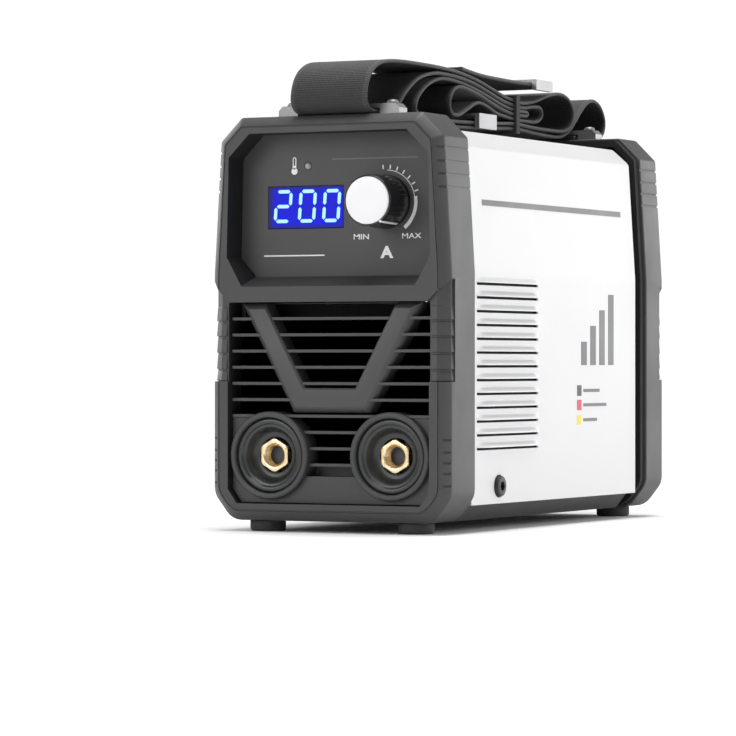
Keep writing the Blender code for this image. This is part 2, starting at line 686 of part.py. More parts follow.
def bus_bar(parent, x, suffix):
    """Copper link from the back of a socket down to the main board."""
    front = CONTACT_END + FIT
    board_top = main_board_bottom() + BOARD_THICKNESS + FIT
    sheet = 2 * MM
    top = SOCKET_Z + 7 * MM
    profile = [(front, board_top), (front + 16 * MM, board_top), (front + 16 * MM, board_top + sheet),
               (front + sheet, board_top + sheet), (front + sheet, top), (front, top)]
    place("bus_bar_" + suffix, across(profile, x - 6 * MM, x + 6 * MM), copper(), parent)


# ---------------------------------------------------------------- rear panel
def rear_panel(parent):
    panel = face_rear(panel_plate("rear_panel", parent))
    depth = (PANEL_Y - OVERCUT, PANEL_Y + PANEL_THICKNESS + OVERCUT)
    half_width, half_height = SWITCH_WIDTH / 2 - 1.7 * MM, SWITCH_HEIGHT / 2 - 1.3 * MM
    cut(panel, around_switch(half_width, half_height, *depth))
    cut(panel, prism(circle(GLAND_RADIUS - 2 * MM + FIT, 32, -GLAND_X, GLAND_Z), *depth))
    return panel


def around_switch(half_width, half_height, front, back):
    return block((SWITCH_X - half_width, SWITCH_X + half_width), (front, back),
                 (SWITCH_Z - half_height, SWITCH_Z + half_height))


def power_switch(parent):
    """Panel-mount rocker switch, built facing forwards and turned round to the rear."""
    front = PANEL_Y - 2 * MM
    half_width, half_height = SWITCH_WIDTH / 2, SWITCH_HEIGHT / 2
    housing = place("power_switch_housing", around_switch(half_width, half_height, front, PANEL_Y - FIT),
                    black_plastic(), parent)
    neck_w, neck_h = half_width - 2 * MM, half_height - 1.6 * MM
    join(housing, around_switch(neck_w, neck_h, PANEL_Y - 1 * MM, PANEL_Y + 24 * MM))
    cut(housing, around_switch(neck_w - 2 * MM, neck_h - 1.4 * MM, front - OVERCUT, PANEL_Y + 12 * MM))
    face_rear(housing)
    axis = bpy.data.objects.new("rocker_axis", None)
    bpy.context.collection.objects.link(axis)
    axis.parent = parent
    axis.location = (-SWITCH_X, CASE_DEPTH - (PANEL_Y + 5 * MM), SWITCH_Z)
    axis.rotation_euler = (ROCKER_TILT, 0, pi)
    half = neck_h - 2.4 * MM
    width = neck_w - 2 * MM - FIT
    lip, dip, waist, heel, slope = -7 * MM, -5.4 * MM, 1.5 * MM, 4 * MM, 2 * MM
    profile = [(lip, -half), (dip, 0), (lip, half), (waist, half - slope), (heel, slope), (heel, -slope),
               (waist, -half + slope)]
    red = material("rocker_red", (0.5, 0.02, 0.02), 0.35)
    place("power_rocker", across(profile, -width, width), red, axis)


def mains_gland(parent):
    neck, tip = GLAND_RADIUS - 2 * MM, PANEL_Y - GLAND_LENGTH
    end = PANEL_Y + PANEL_THICKNESS + 8.5 * MM
    collar = circle(GLAND_RADIUS + 1.5 * MM, 6, -GLAND_X, GLAND_Z)
    gland = place("mains_gland", prism(collar, PANEL_Y - 6 * MM, PANEL_Y - FIT), black_plastic(), parent)
    dome = [(GLAND_RADIUS - 4 * MM, tip), (GLAND_RADIUS - 1.5 * MM, tip + 5 * MM),
            (GLAND_RADIUS - 0.5 * MM, PANEL_Y - 5 * MM)]
    join(gland, turned(dome, -GLAND_X, GLAND_Z))
    join(gland, turned([(neck, PANEL_Y - 1 * MM), (neck, end)], -GLAND_X, GLAND_Z))
    cut(gland, turned([(GLAND_BORE, tip - OVERCUT), (GLAND_BORE, end + OVERCUT)], -GLAND_X, GLAND_Z, 24))
    face_rear(gland)
    back = PANEL_Y + PANEL_THICKNESS + FIT
    hexagon = circle(GLAND_RADIUS + 2 * MM, 6, -GLAND_X, GLAND_Z)
    nut = place("gland_nut", prism(hexagon, back, back + 5 * MM), black_plastic(), parent)
    cut(nut, turned([(neck + FIT, back - OVERCUT), (neck + FIT, back + 6 * MM)], -GLAND_X, GLAND_Z))
    face_rear(nut)


# ---------------------------------------------------------------- strap
def bracket_slot_top():
    return HEIGHT + FIT + STRAP_THICKNESS + BRACKET_PLAY


def strap_bracket(name, parent, y):
    """A low metal bridge over the webbing, screwed down at both ends."""
    under = HEIGHT + FIT
    slot_top = bracket_slot_top()
    inner = STRAP_WIDTH / 2 + 1.5 * MM
    outline = mirrored([(inner, under), (BRACKET_HALF, under), (BRACKET_HALF, slot_top),
                        (BRACKET_HALF - 2 * MM, slot_top + BRACKET_THICKNESS)])
    bar = place(name, prism(outline, y - BRACKET_DEPTH / 2, y + BRACKET_DEPTH / 2), plated_steel(), parent)
    return cut(bar, block((-inner, inner), (y - BRACKET_DEPTH, y + BRACKET_DEPTH),
                          (under - OVERCUT, slot_top)))


def smooth(points, steps=3):
    """Catmull-Rom curve through the points."""
    padded = [points[0], *points, points[-1]]
    curve = []
    for a, b, c, d in zip(padded, padded[1:], padded[2:], padded[3:]):
        a, b, c, d = Vector(a), Vector(b), Vector(c), Vector(d)
        for step in range(steps):
            t = step / steps
            curve.append(0.5 * (2 * b + (c - a) * t + (2 * a - 5 * b + 4 * c - d) * t * t
                                + (3 * b - a - 3 * c + d) * t * t * t))
    curve.append(Vector(points[-1]))
    return curve


def along_case(depth):
    """A depth on the strap's route, stretched with the case."""
    return depth * CASE_DEPTH / ROUTE_DEPTH


def ribbon_outline(route, thickness):
    """Both faces of a band of the given thickness along a route, as two lists of (y, z)."""
    line = smooth([(along_case(y * MM), HEIGHT + z * MM) for y, z in route])
    faces = ([], [])
    for i, here in enumerate(line):
        along = (line[min(i + 1, len(line) - 1)] - line[max(i - 1, 0)]).normalized()
        normal = Vector((-along.y, along.x)) * thickness / 2
        faces[0].append(here + normal)
        faces[1].append(here - normal)
    return faces


def ribbon(name, parent, route, width):
    upper, lower = ribbon_outline(route, STRAP_THICKNESS)
    bm = bmesh.new()
    rows = [[bm.verts.new((x, p.x, p.y)) for p in face] for x, face in
            ((-width / 2, upper), (width / 2, upper), (width / 2, lower), (-width / 2, lower))]
    for near, far in zip(rows, rows[1:] + rows[:1]):
        for i in range(len(near) - 1):
            bm.faces.new((near[i], near[i + 1], far[i + 1], far[i]))
    bm.faces.new([row[0] for row in rows])
    bm.faces.new([row[-1] for row in reversed(rows)])
    return place(name, bm, webbing(), parent)


def strap_tie(parent):
    inner = STRAP_WIDTH / 2 + FIT
    low, high = HEIGHT + 0.7 * MM, HEIGHT + 16.4 * MM
    wall = 1.2 * MM
    half = 2 * MM
    opening = [(-inner, low), (inner, low), (inner, high), (-inner, high)]
    outer = [(-inner - wall, low - wall), (inner + wall, low - wall),
             (inner + wall, high + wall), (-inner - wall, high + wall)]
    middle = along_case(TIE_Y)
    return place("strap_tie", shell(outer, opening, middle - half, middle + half), webbing(), parent)


def strap_buckle(name, parent, y, low, high):
    """A slide buckle: two rails beside the webbing, joined by two bars over it."""
    inner = STRAP_WIDTH / 2 + 0.6 * MM
    outer = inner + 2.4 * MM
    half = 9.5 * MM
    bar = 1.4 * MM
    buckle = place(name, block((-outer, outer), (y - half, y + half), (low, high)), plated_steel(), parent)
    rail = 3 * MM
    cut(buckle, block((-inner, inner), (y - half - OVERCUT, y + half + OVERCUT),
                      (low - OVERCUT, high - bar)))
    return cut(buckle, block((-inner, inner), (y - half + rail, y + half - rail), (low, high + OVERCUT)))


# ---------------------------------------------------------------- insides
def main_board_bottom():
    return RING_BOTTOM + SHEET + BOSS_HEIGHT + FIT


def main_board(parent):
    bottom = main_board_bottom()
    board = block((-MAIN_BOARD_HALF, MAIN_BOARD_HALF), (MAIN_BOARD_FRONT, MAIN_BOARD_REAR),
                  (bottom, bottom + BOARD_THICKNESS))
    place("main_board", board, circuit_green(), parent)
    return bottom + BOARD_THICKNESS + FIT


def heat_sink(name, parent, side, bottom):
    """A finned block whose fins point outwards."""
    x = sorted((side * SINK_NEAR, side * SINK_FAR))
    metal = material("aluminium", (0.6, 0.6, 0.6), 0.4, 1.0)
    sink = place(name, block(x, (SINK_FRONT, SINK_REAR), (bottom, bottom + SINK_HEIGHT)), metal, parent)
    gap = sorted((side * (SINK_NEAR + SINK_WEB), side * (SINK_FAR + OVERCUT)))
    for number in range(FINS - 1):
        low = bottom + SINK_WEB + number * FIN_PITCH
        cut(sink, block(gap, (SINK_FRONT - OVERCUT, SINK_REAR + OVERCUT), (low, low + FIN_GAP)))


def capacitor(name, parent, x, bottom):
    bm = bmesh.new()
    bmesh.ops.create_cone(bm, cap_ends=True, segments=28, radius1=CAPACITOR_RADIUS,
                          radius2=CAPACITOR_RADIUS, depth=CAPACITOR_HEIGHT)
    bmesh.ops.translate(bm, verts=bm.verts, vec=(x, CAPACITOR_Y, bottom + CAPACITOR_HEIGHT / 2))
    place(name, bm, material("capacitor_sleeve", (0.02, 0.03, 0.09), 0.4), parent)


def transformer(parent, bottom):
    """A ferrite core with two windows, and the winding round its middle leg."""
    middle = (CORE_FRONT + CORE_REAR) / 2
    reach = (CORE_REAR - CORE_FRONT) / 2
    window = (bottom + CORE_LEG, bottom + CORE_HEIGHT - CORE_LEG)
    core = place("transformer_core", block((-CORE_HALF, CORE_HALF), (CORE_FRONT, CORE_REAR),
                                           (bottom, bottom + CORE_HEIGHT)),
                 material("ferrite", (0.06, 0.06, 0.065), 0.6), parent)
    width = (-CORE_HALF - OVERCUT, CORE_HALF + OVERCUT)
    cut(core, block(width, (CORE_FRONT + CORE_LEG, middle - CORE_LEG), window))
    cut(core, block(width, (middle + CORE_LEG, CORE_REAR - CORE_LEG), window))
    winding = place("transformer_winding", around(middle, CORE_HALF + 1.8 * MM, reach - CORE_LEG - FIT,
                                                  window[0] + FIT, window[1] - FIT), copper(), parent)
    cut(winding, around(middle, CORE_HALF + FIT, CORE_LEG + FIT, window[0] - OVERCUT, window[1] + OVERCUT))


def around(middle, half_x, half_y, low, high):
    """A box centred on the case's middle plane and on a depth."""
    return block((-half_x, half_x), (middle - half_y, middle + half_y), (low, high))


def output_choke(parent, bottom):
    outer, inner, half, corner = 17 * MM, 8 * MM, 7 * MM, 2 * MM
    front, back = CHOKE_Y - half, CHOKE_Y + half
    profile = [(outer, front + corner), (outer, back - corner), (outer - corner, back), (inner, back),
               (inner, front), (outer - corner, front)]
    place("output_choke", turned_ring(profile, 0, bottom + outer), copper(), parent)


def fan(parent):
    front = FAN_REAR - FAN_DEPTH
    half = FAN_SIZE / 2
    frame = place("fan_frame", block((-half, half), (front, FAN_REAR), (FAN_Z - half, FAN_Z + half)),
                  black_plastic(), parent)
    cut(frame, prism(circle(FAN_BORE, 48, 0, FAN_Z), front - OVERCUT, FAN_REAR + OVERCUT))
    strut = 3.4 * MM
    join(frame, prism(circle(FAN_HUB, 32, 0, FAN_Z), FAN_REAR - strut, FAN_REAR))
    for number in range(3):
        angle = radians(90 + 120 * number)
        bm = block((FAN_HUB - 2 * MM, FAN_BORE + 1.5 * MM), (FAN_REAR - strut, FAN_REAR),
                   (-2.5 * MM, 2.5 * MM))
        bmesh.ops.rotate(bm, verts=bm.verts, matrix=Matrix.Rotation(-angle, 3, "Y"))
        bmesh.ops.translate(bm, verts=bm.verts, vec=(0, 0, FAN_Z))
        join(frame, bm)
    axis = bpy.data.objects.new("fan_axis", None)
    bpy.context.collection.objects.link(axis)
    axis.parent = parent
    axis.location = (0, front + 1.5 * MM, FAN_Z)
    length = FAN_DEPTH - strut - 3 * MM
    hub = turned([(FAN_HUB - 1.5 * MM, 0), (FAN_HUB, 1.5 * MM), (FAN_HUB, length)])
    rotor = place("fan_rotor", hub, black_plastic(), axis)
    for number in range(FAN_BLADES):
        join(rotor, fan_blade(2 * pi * number / FAN_BLADES, length))


def fan_blade(angle, length):
    """A twisted blade from inside the hub to a small gap from the frame's bore."""
    bm = bmesh.new()
    sections = []
    for radius, pitch in ((FAN_HUB - 2 * MM, radians(48)), (FAN_BORE - 1.5 * MM, radians(30))):
        reach, wall = 8.5 * MM, 0.8 * MM
        corners = []
        for u, v in ((-reach, -wall), (reach, -wall), (reach, wall), (-reach, wall)):
            tangent = u * cos(pitch) - v * sin(pitch)
            axial = u * sin(pitch) + v * cos(pitch)
            corners.append(bm.verts.new((radius, length / 2 + axial, tangent)))
        sections.append(corners)
    for i in range(4):
        following = (i + 1) % 4
        bm.faces.new((sections[0][i], sections[0][following],
                      sections[1][following], sections[1][i]))
    bm.faces.new(reversed(sections[0]))
    bm.faces.new(sections[1])
    bmesh.ops.rotate(bm, verts=bm.verts, matrix=Matrix.Rotation(angle, 3, "Y"))
    return bm


def bracket_screw(name, parent, x, y):
    height = 1.4 * MM
    seat = bracket_slot_top() + BRACKET_THICKNESS + FIT
    bm = bmesh.new()
    bmesh.ops.create_cone(bm, cap_ends=True, segments=20, radius1=2.6 * MM, radius2=2.1 * MM, depth=height)
    bmesh.ops.translate(bm, verts=bm.verts, vec=(x, y, seat + height / 2))
    place(name, bm, plated_steel(), parent)


def build():
    clear_scene()
    upper, lower = ribbon_outline(STRAP_ROUTE, STRAP_THICKNESS)
    reach = max(p.x for p in upper + lower)
    root = bpy.data.objects.new("case_origin", None)
    bpy.context.collection.objects.link(root)
    root.location = (0, (KNOB_PROUD - reach) / 2, 0)

    bumper_ring("front_ring", root)
    face_rear(bumper_ring("rear_ring", root))
    for suffix, side in (("left", -1), ("right", 1)):
        foot("foot_front_" + suffix, root, side, RING_CHAMFER)
        foot("foot_rear_" + suffix, root, side, CASE_DEPTH - RING_DEPTH + RING_CHAMFER)
        side_screw("side_screw_" + suffix, root, side)
        socket(root, side, suffix)
    top_cover(root)
    base_tray(root)
    rear_seal(root)

    control_panel(root)
    display(root)
    temperature_led(root)
    knob(root)
    potentiometer(root)
    control_board(root)
    grille_panel(root)
    guard_brace(root)

    rear_panel(root)
    face_rear(slatted_panel("rear_grille", root))
    power_switch(root)
    mains_gland(root)

    for end, y in (("front", FRONT_BRACKET_Y), ("rear", REAR_BRACKET_Y)):
        strap_bracket("strap_bracket_" + end, root, y)
        for suffix, side in (("left", -1), ("right", 1)):
            bracket_screw(f"bracket_screw_{end}_{suffix}", root, side * BRACKET_SCREW_X, y)
    ribbon("shoulder_strap", root, STRAP_ROUTE, STRAP_WIDTH)
    ribbon("strap_tail", root, TAIL_ROUTE, STRAP_WIDTH)
    strap_tie(root)
    for suffix, depth, low, high in BUCKLES:
        strap_buckle("strap_buckle_" + suffix, root, along_case(depth), HEIGHT + low, HEIGHT + high)

    floor = main_board(root)
    for suffix, side in (("left", -1), ("right", 1)):
        heat_sink("heat_sink_" + suffix, root, side, floor)
    for number, x in enumerate((-30 * MM, 0, 30 * MM), 1):
        capacitor(f"bus_capacitor_{number}", root, x, floor)
    transformer(root, floor)
    output_choke(root, floor)
    fan(root)


build()
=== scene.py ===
from math import cos, pi, radians, sin, tan

import bmesh
import bpy
from mathutils import Euler, Matrix, Vector


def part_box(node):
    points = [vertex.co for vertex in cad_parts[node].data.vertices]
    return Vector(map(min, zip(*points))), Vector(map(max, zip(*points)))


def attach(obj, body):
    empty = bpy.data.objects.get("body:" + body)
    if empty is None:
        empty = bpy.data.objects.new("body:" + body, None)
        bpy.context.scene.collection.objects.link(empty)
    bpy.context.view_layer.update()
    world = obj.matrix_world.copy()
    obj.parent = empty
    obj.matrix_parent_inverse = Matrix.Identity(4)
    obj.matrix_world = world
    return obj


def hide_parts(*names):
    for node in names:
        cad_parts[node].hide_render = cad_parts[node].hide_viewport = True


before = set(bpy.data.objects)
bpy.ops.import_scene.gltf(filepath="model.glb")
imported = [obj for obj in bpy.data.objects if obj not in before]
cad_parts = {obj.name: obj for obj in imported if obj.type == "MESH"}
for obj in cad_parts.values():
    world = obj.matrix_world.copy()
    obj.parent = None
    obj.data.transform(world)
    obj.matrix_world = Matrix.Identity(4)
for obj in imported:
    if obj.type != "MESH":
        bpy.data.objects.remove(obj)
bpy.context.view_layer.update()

# Shapes are written in millimetres: x right, y back from the front bumper's face, z up from the floor.
mm = 0.001
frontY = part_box("front_ring")[0].y


def sizeOf(node):
    low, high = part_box(node)
    return ((low.x / mm, high.x / mm), ((low.y - frontY) / mm, (high.y - frontY) / mm),
            (low.z / mm, high.z / mm))


case = {
    "halfWidth": sizeOf("front_ring")[0][1],
    "height": sizeOf("front_ring")[2][1],
    "bottom": sizeOf("front_ring")[2][0],
    "ringDepth": sizeOf("front_ring")[1][1],
    "depth": sizeOf("rear_ring")[1][1],
    "panel": sizeOf("control_panel")[1][0],
    "grille": 12.0,
}


output = {"left": sizeOf("socket_contact_left"), "right": sizeOf("socket_contact_right")}
bothSides = (("left", -1), ("right", 1))


def at(x, y, z):
    return Vector((x * mm, frontY + y * mm, z * mm))


def middleOf(span):
    return (span[0] + span[1]) / 2


# Shape helpers

def skin(rings, closed=False):
    shape = bmesh.new()
    made = [[shape.verts.new(point) for point in ring] for ring in rings]
    pairs = list(zip(made, made[1:]))
    if closed:
        pairs.append((made[-1], made[0]))
    for near, far in pairs:
        for i in range(len(near)):
            after = (i + 1) % len(near)
            shape.faces.new((near[i], near[after], far[after], far[i]))
    if not closed:
        shape.faces.new(reversed(made[0]))
        shape.faces.new(made[-1])
    return shape


def prism(outline, front, back):
    return skin([[(x, y, z) for x, z in outline] for y in (front, back)])


def block(x, y, z):
    return prism([(x[0], z[0]), (x[1], z[0]), (x[1], z[1]), (x[0], z[1])], *y)


def circle(radius, sides=64, x=0.0, z=0.0, turn=0.0):
    angles = [turn + 2 * pi * i / sides for i in range(sides)]
    return [(x + radius * cos(a), z + radius * sin(a)) for a in angles]


def lathe(profile, x=0.0, z=0.0, sides=96, closed=True):
    # A profile of (radius, depth) points turned about a line along y
    return skin([[(a, y, b) for a, b in circle(radius, sides, x, z)] for radius, y in profile], closed)


def mirrored(half):
    return half + [(-x, z) for x, z in reversed(half)]


def cornersOf(outline):
    # Each corner with the one before it and the one after it
    points = [Vector(point) for point in outline]
    return zip([points[-1], *points[:-1]], points, [*points[1:], points[0]])


def inset(outline, distance):
    moved = []
    for before, here, after in cornersOf(outline):
        along, onward = (here - before).normalized(), (after - here).normalized()
        first, second = Vector((-along.y, along.x)), Vector((-onward.y, onward.x))
        middle = (first + second).normalized()
        moved.append(tuple(here + middle * distance / middle.dot(first)))
    return moved


def rounded(outline, radius, steps=4):
    # Each corner becomes an arc that touches both of its sides; radius may be a list, one for each corner
    points = []
    wantedSizes = radius if isinstance(radius, list) else [radius] * len(outline)
    for (before, here, after), wanted in zip(cornersOf(outline), wantedSizes):
        back, onward = before - here, after - here
        half = back.angle(onward) / 2
        reach = min(wanted / tan(half), 0.42 * back.length, 0.42 * onward.length)
        size = reach * tan(half)
        centre = here + (back.normalized() + onward.normalized()).normalized() * (size / sin(half))
        start = here + back.normalized() * reach - centre
        end = here + onward.normalized() * reach - centre
        for step in range(steps + 1):
            share = step / steps
            points.append(tuple(centre + (start * (1 - share) + end * share).normalized() * size))
    return points


def gathered(shapes):
    whole = bmesh.new()
    for shape in shapes:
        mesh = bpy.data.meshes.new("shape")
        bmesh.ops.recalc_face_normals(shape, faces=shape.faces)
        shape.to_mesh(mesh)
        shape.free()
        whole.from_mesh(mesh)
        bpy.data.meshes.remove(mesh)
    return whole


def combined(base, tool, operation):
    pair = []
    for shape in (base, tool):
        bmesh.ops.recalc_face_normals(shape, faces=shape.faces)
        mesh = bpy.data.meshes.new("shape")
        shape.to_mesh(mesh)
        shape.free()
        item = bpy.data.objects.new("shape", mesh)
        bpy.context.collection.objects.link(item)
        pair.append(item)
    step = pair[0].modifiers.new("combine", "BOOLEAN")
    step.operation = operation
    step.object = pair[1]
    bpy.context.view_layer.update()
    evaluated = pair[0].evaluated_get(bpy.context.evaluated_depsgraph_get())
    mesh = bpy.data.meshes.new_from_object(evaluated)
    result = bmesh.new()
    result.from_mesh(mesh)
    bpy.data.meshes.remove(mesh)
    for item in pair:
        leftover = item.data
        bpy.data.objects.remove(item, do_unlink=True)
        bpy.data.meshes.remove(leftover)
    return result


def carve(base, *tools):
    for tool in tools:
        base = combined(base, tool, "DIFFERENCE")
    return base


def weld(base, *extras):
    for extra in extras:
        base = combined(base, extra, "UNION")
    return base


def newPiece(name, shape, finish, body="case", node=None, rear=False, move=None, sharp=32):
    bmesh.ops.recalc_face_normals(shape, faces=shape.faces)
    mesh = bpy.data.meshes.new(name)
    shape.to_mesh(mesh)
    shape.free()
    if move is not None:
        mesh.transform(move)
    if rear:
        mesh.transform(Matrix.Translation((0, case["depth"], 0)) @ Matrix.Rotation(pi, 4, "Z"))
    mesh.transform(Matrix.Translation((0, frontY, 0)) @ Matrix.Scale(mm, 4))
    mesh.shade_smooth()
    mesh.set_sharp_from_angle(angle=radians(sharp))
    mesh.materials.append(finish)
    piece = bpy.data.objects.new(name, mesh)
    bpy.context.collection.objects.link(piece)
    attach(piece, body)
    if node:
        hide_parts(*([node] if isinstance(node, str) else node))
    return piece


def soften(piece, width, segments=2, angle=32):
    edge = piece.modifiers.new("soft_edges", "BEVEL")
    edge.width = width * mm
    edge.segments = segments
    edge.limit_method = "ANGLE"
    edge.angle_limit = radians(angle)
    edge.harden_normals = True
    return piece


# Finishes

def addNode(tree, kind, inputs=None, **settings):
    made = tree.nodes.new("ShaderNode" + kind)
    for name, value in settings.items():
        setattr(made, name, value)
    for name, value in (inputs or {}).items():
        feed(tree, made.inputs[name], value)
    return made


def feed(tree, socket, value):
    if isinstance(value, bpy.types.NodeSocket):
        tree.links.new(value, socket)
    else:
        socket.default_value = value


def newFinish(name):
    finish = bpy.data.materials.new(name)
    finish.use_nodes = True
    return finish, finish.node_tree, finish.node_tree.nodes["Principled BSDF"]


def objectPlace(tree):
    return addNode(tree, "TexCoord").outputs["Object"]


def noise(tree, scale, detail=2.0, roughness=0.5, place=None):
    inputs = {"Vector": place or objectPlace(tree), "Scale": scale, "Detail": detail,
              "Roughness": roughness}
    return addNode(tree, "TexNoise", inputs).outputs["Fac"]


def ramp(tree, factor, low, high, fromLow=0.3, fromHigh=0.7):
    return addNode(tree, "MapRange", {"Value": factor, "From Min": fromLow, "From Max": fromHigh,
                                      "To Min": low, "To Max": high}).outputs["Result"]


def blendColour(tree, factor, first, second):
    mix = addNode(tree, "Mix", data_type="RGBA")
    feed(tree, mix.inputs["Factor"], factor)
    feed(tree, mix.inputs[6], (*first, 1) if isinstance(first, tuple) else first)
    feed(tree, mix.inputs[7], (*second, 1) if isinstance(second, tuple) else second)
    return mix.outputs[2]


def sums(tree, operation, first, second=0.0):
    made = addNode(tree, "Math", operation=operation)
    feed(tree, made.inputs[0], first)
    feed(tree, made.inputs[1], second)
    return made.outputs[0]


def relief(tree, shader, height, depth):
    bump = addNode(tree, "Bump", {"Height": height, "Distance": depth * mm, "Strength": 1.0})
    tree.links.new(bump.outputs["Normal"], shader.inputs["Normal"])


def product(tree, first, second):
    return sums(tree, "MULTIPLY", first, second)


def distance(tree, first, second):
    square = sums(tree, "ADD", product(tree, first, first), product(tree, second, second))
    return sums(tree, "SQRT", square)


def wave(tree, along, pitch):
    return sums(tree, "SINE", product(tree, along, 2 * pi / pitch))


def shades(colour, spread):
    return tuple(c * (1 - spread) for c in colour), tuple(min(c * (1 + spread), 1.0) for c in colour)


def grainedFinish(name, colour, roughness, grain=2200, depth=0.03, spread=0.1, metallic=0.0, vary=0.06):
    # Moulded or sprayed surface: fine grain in the relief, slow drifts in the colour and the gloss
    finish, tree, shader = newFinish(name)
    place = objectPlace(tree)
    drift = noise(tree, 28, 3.0, 0.6, place)
    fine = noise(tree, grain, 2.0, 0.55, place)
    low, high = shades(colour, spread)
    speckle = blendColour(tree, ramp(tree, fine, 0.0, 0.35), blendColour(tree, drift, low, high), high)
    feed(tree, shader.inputs["Base Color"], speckle)
    feed(tree, shader.inputs["Roughness"], ramp(tree, drift, roughness - vary, roughness + vary))
    shader.inputs["Metallic"].default_value = metallic
    relief(tree, shader, fine, depth)
    return finish


def turnedFinish(name, colour, roughness, centreX, centreZ, pitch=0.35):
    # Lathe marks run round a line along y
    finish, tree, shader = newFinish(name)
    apart = addNode(tree, "SeparateXYZ", {"Vector": objectPlace(tree)})
    acrossX = sums(tree, "SUBTRACT", apart.outputs["X"], centreX * mm)
    acrossZ = sums(tree, "SUBTRACT", apart.outputs["Z"], centreZ * mm)
    rings = wave(tree, distance(tree, acrossX, acrossZ), pitch * mm)
    drift = noise(tree, 260, 4.0, 0.6)
    low, high = shades(colour, 0.12)
    feed(tree, shader.inputs["Base Color"], blendColour(tree, drift, low, high))
    feed(tree, shader.inputs["Roughness"], ramp(tree, drift, roughness - 0.07, roughness + 0.1))
    shader.inputs["Metallic"].default_value = 1.0
    relief(tree, shader, rings, 0.006)
    return finish


def brushedFinish(name, colour, roughness, stretch=(40.0, 4000.0, 900.0), depth=0.008):
    finish, tree, shader = newFinish(name)
    drawn = addNode(tree, "Mapping", {"Vector": objectPlace(tree), "Scale": stretch}).outputs["Vector"]
    lines = noise(tree, 1.0, 3.0, 0.6, drawn)
    drift = noise(tree, 60, 3.0)
    low, high = shades(colour, 0.1)
    feed(tree, shader.inputs["Base Color"], blendColour(tree, drift, low, high))
    feed(tree, shader.inputs["Roughness"], ramp(tree, lines, roughness - 0.08, roughness + 0.1))
    shader.inputs["Metallic"].default_value = 1.0
    relief(tree, shader, lines, depth)
    return finish


def webbingFinish(name, shade=1.0, halfWidth=19.0):
    # u runs across the band and v along it, both in millimetres
    finish, tree, shader = newFinish(name)
    apart = addNode(tree, "SeparateXYZ", {"Vector": addNode(tree, "TexCoord").outputs["UV"]})
    across, along = apart.outputs["X"], apart.outputs["Y"]
    ribs, yarns = wave(tree, along, 1.05), wave(tree, across, 1.3)
    diagonal = sums(tree, "ADD", product(tree, along, 2 * pi / 3.0), product(tree, across, 2 * pi / 2.2))
    stagger = sums(tree, "SINE", diagonal)
    weave = sums(tree, "ADD", ribs, product(tree, yarns, 0.35))
    weave = sums(tree, "ADD", weave, product(tree, stagger, 0.35))
    fluff = noise(tree, 1800, 3.0, 0.7)
    edge = ramp(tree, sums(tree, "ABSOLUTE", across), 0.0, 1.0, halfWidth - 2.6, halfWidth - 1.6)
    valley, crest, lint, border = [(grey * shade, grey * shade, 1.03 * grey * shade)
                                   for grey in (0.008, 0.022, 0.030, 0.055)]
    # The weave's valleys are painted darker and its crests lighter: painted shade and highlight in step
    # with the relief
    ridge = blendColour(tree, ramp(tree, weave, 0.0, 1.0, -1.2, 1.2), valley, crest)
    body = blendColour(tree, ramp(tree, fluff, 0.0, 0.4), ridge, lint)
    feed(tree, shader.inputs["Base Color"], blendColour(tree, product(tree, edge, 0.5), body, border))
    feed(tree, shader.inputs["Roughness"], ramp(tree, fluff, 0.62, 0.85))
    shader.inputs["Sheen Weight"].default_value = 0.12 * shade
    shader.inputs["Sheen Roughness"].default_value = 0.45
    relief(tree, shader, sums(tree, "ADD", weave, product(tree, fluff, 0.7)), 0.06)
    return finish


def glowFinish(name, colour, strength):
    finish, tree, shader = newFinish(name)
    drift = noise(tree, 420, 2.0)
    low, high = shades(colour, 0.08)
    tint = blendColour(tree, drift, low, high)
    feed(tree, shader.inputs["Base Color"], tint)
    feed(tree, shader.inputs["Emission Color"], tint)
    shader.inputs["Emission Strength"].default_value = strength
    shader.inputs["Roughness"].default_value = 0.35
    return finish


def screenFinish(name):
    # Backlit window, brightest round the digits and darker towards its rim
    finish, tree, shader = newFinish(name)
    (left, right), _, (low, high) = sizeOf("display_window")
    apart = addNode(tree, "SeparateXYZ", {"Vector": objectPlace(tree)})
    middleX, middleZ = (left + right + 3.0) / 2 * mm, (low + high) / 2 * mm
    acrossX = sums(tree, "ABSOLUTE", sums(tree, "SUBTRACT", apart.outputs["X"], middleX))
    acrossZ = sums(tree, "ABSOLUTE", sums(tree, "SUBTRACT", apart.outputs["Z"], middleZ))
    fadeX = ramp(tree, acrossX, 1.0, 0.0, (right - left - 5.0) / 2 * mm, (right - left + 2.0) / 2 * mm)
    fadeZ = ramp(tree, acrossZ, 1.0, 0.0, (high - low - 4.0) / 2 * mm, (high - low + 1.0) / 2 * mm)
    glow = product(tree, fadeX, fadeZ)
    cloud = noise(tree, 160, 2.0)
    bright = blendColour(tree, cloud, (0.0, 0.0, 0.58), (0.001, 0.002, 0.8))
    tint = blendColour(tree, glow, (0.012, 0.013, 0.04), bright)
    shader.inputs["Base Color"].default_value = (0.004, 0.006, 0.03, 1)
    feed(tree, shader.inputs["Emission Color"], tint)
    shader.inputs["Emission Strength"].default_value = 0.95
    shader.inputs["Roughness"].default_value = 0.5
    shader.inputs["Specular IOR Level"].default_value = 0.2
    relief(tree, shader, cloud, 0.01)
    return finish


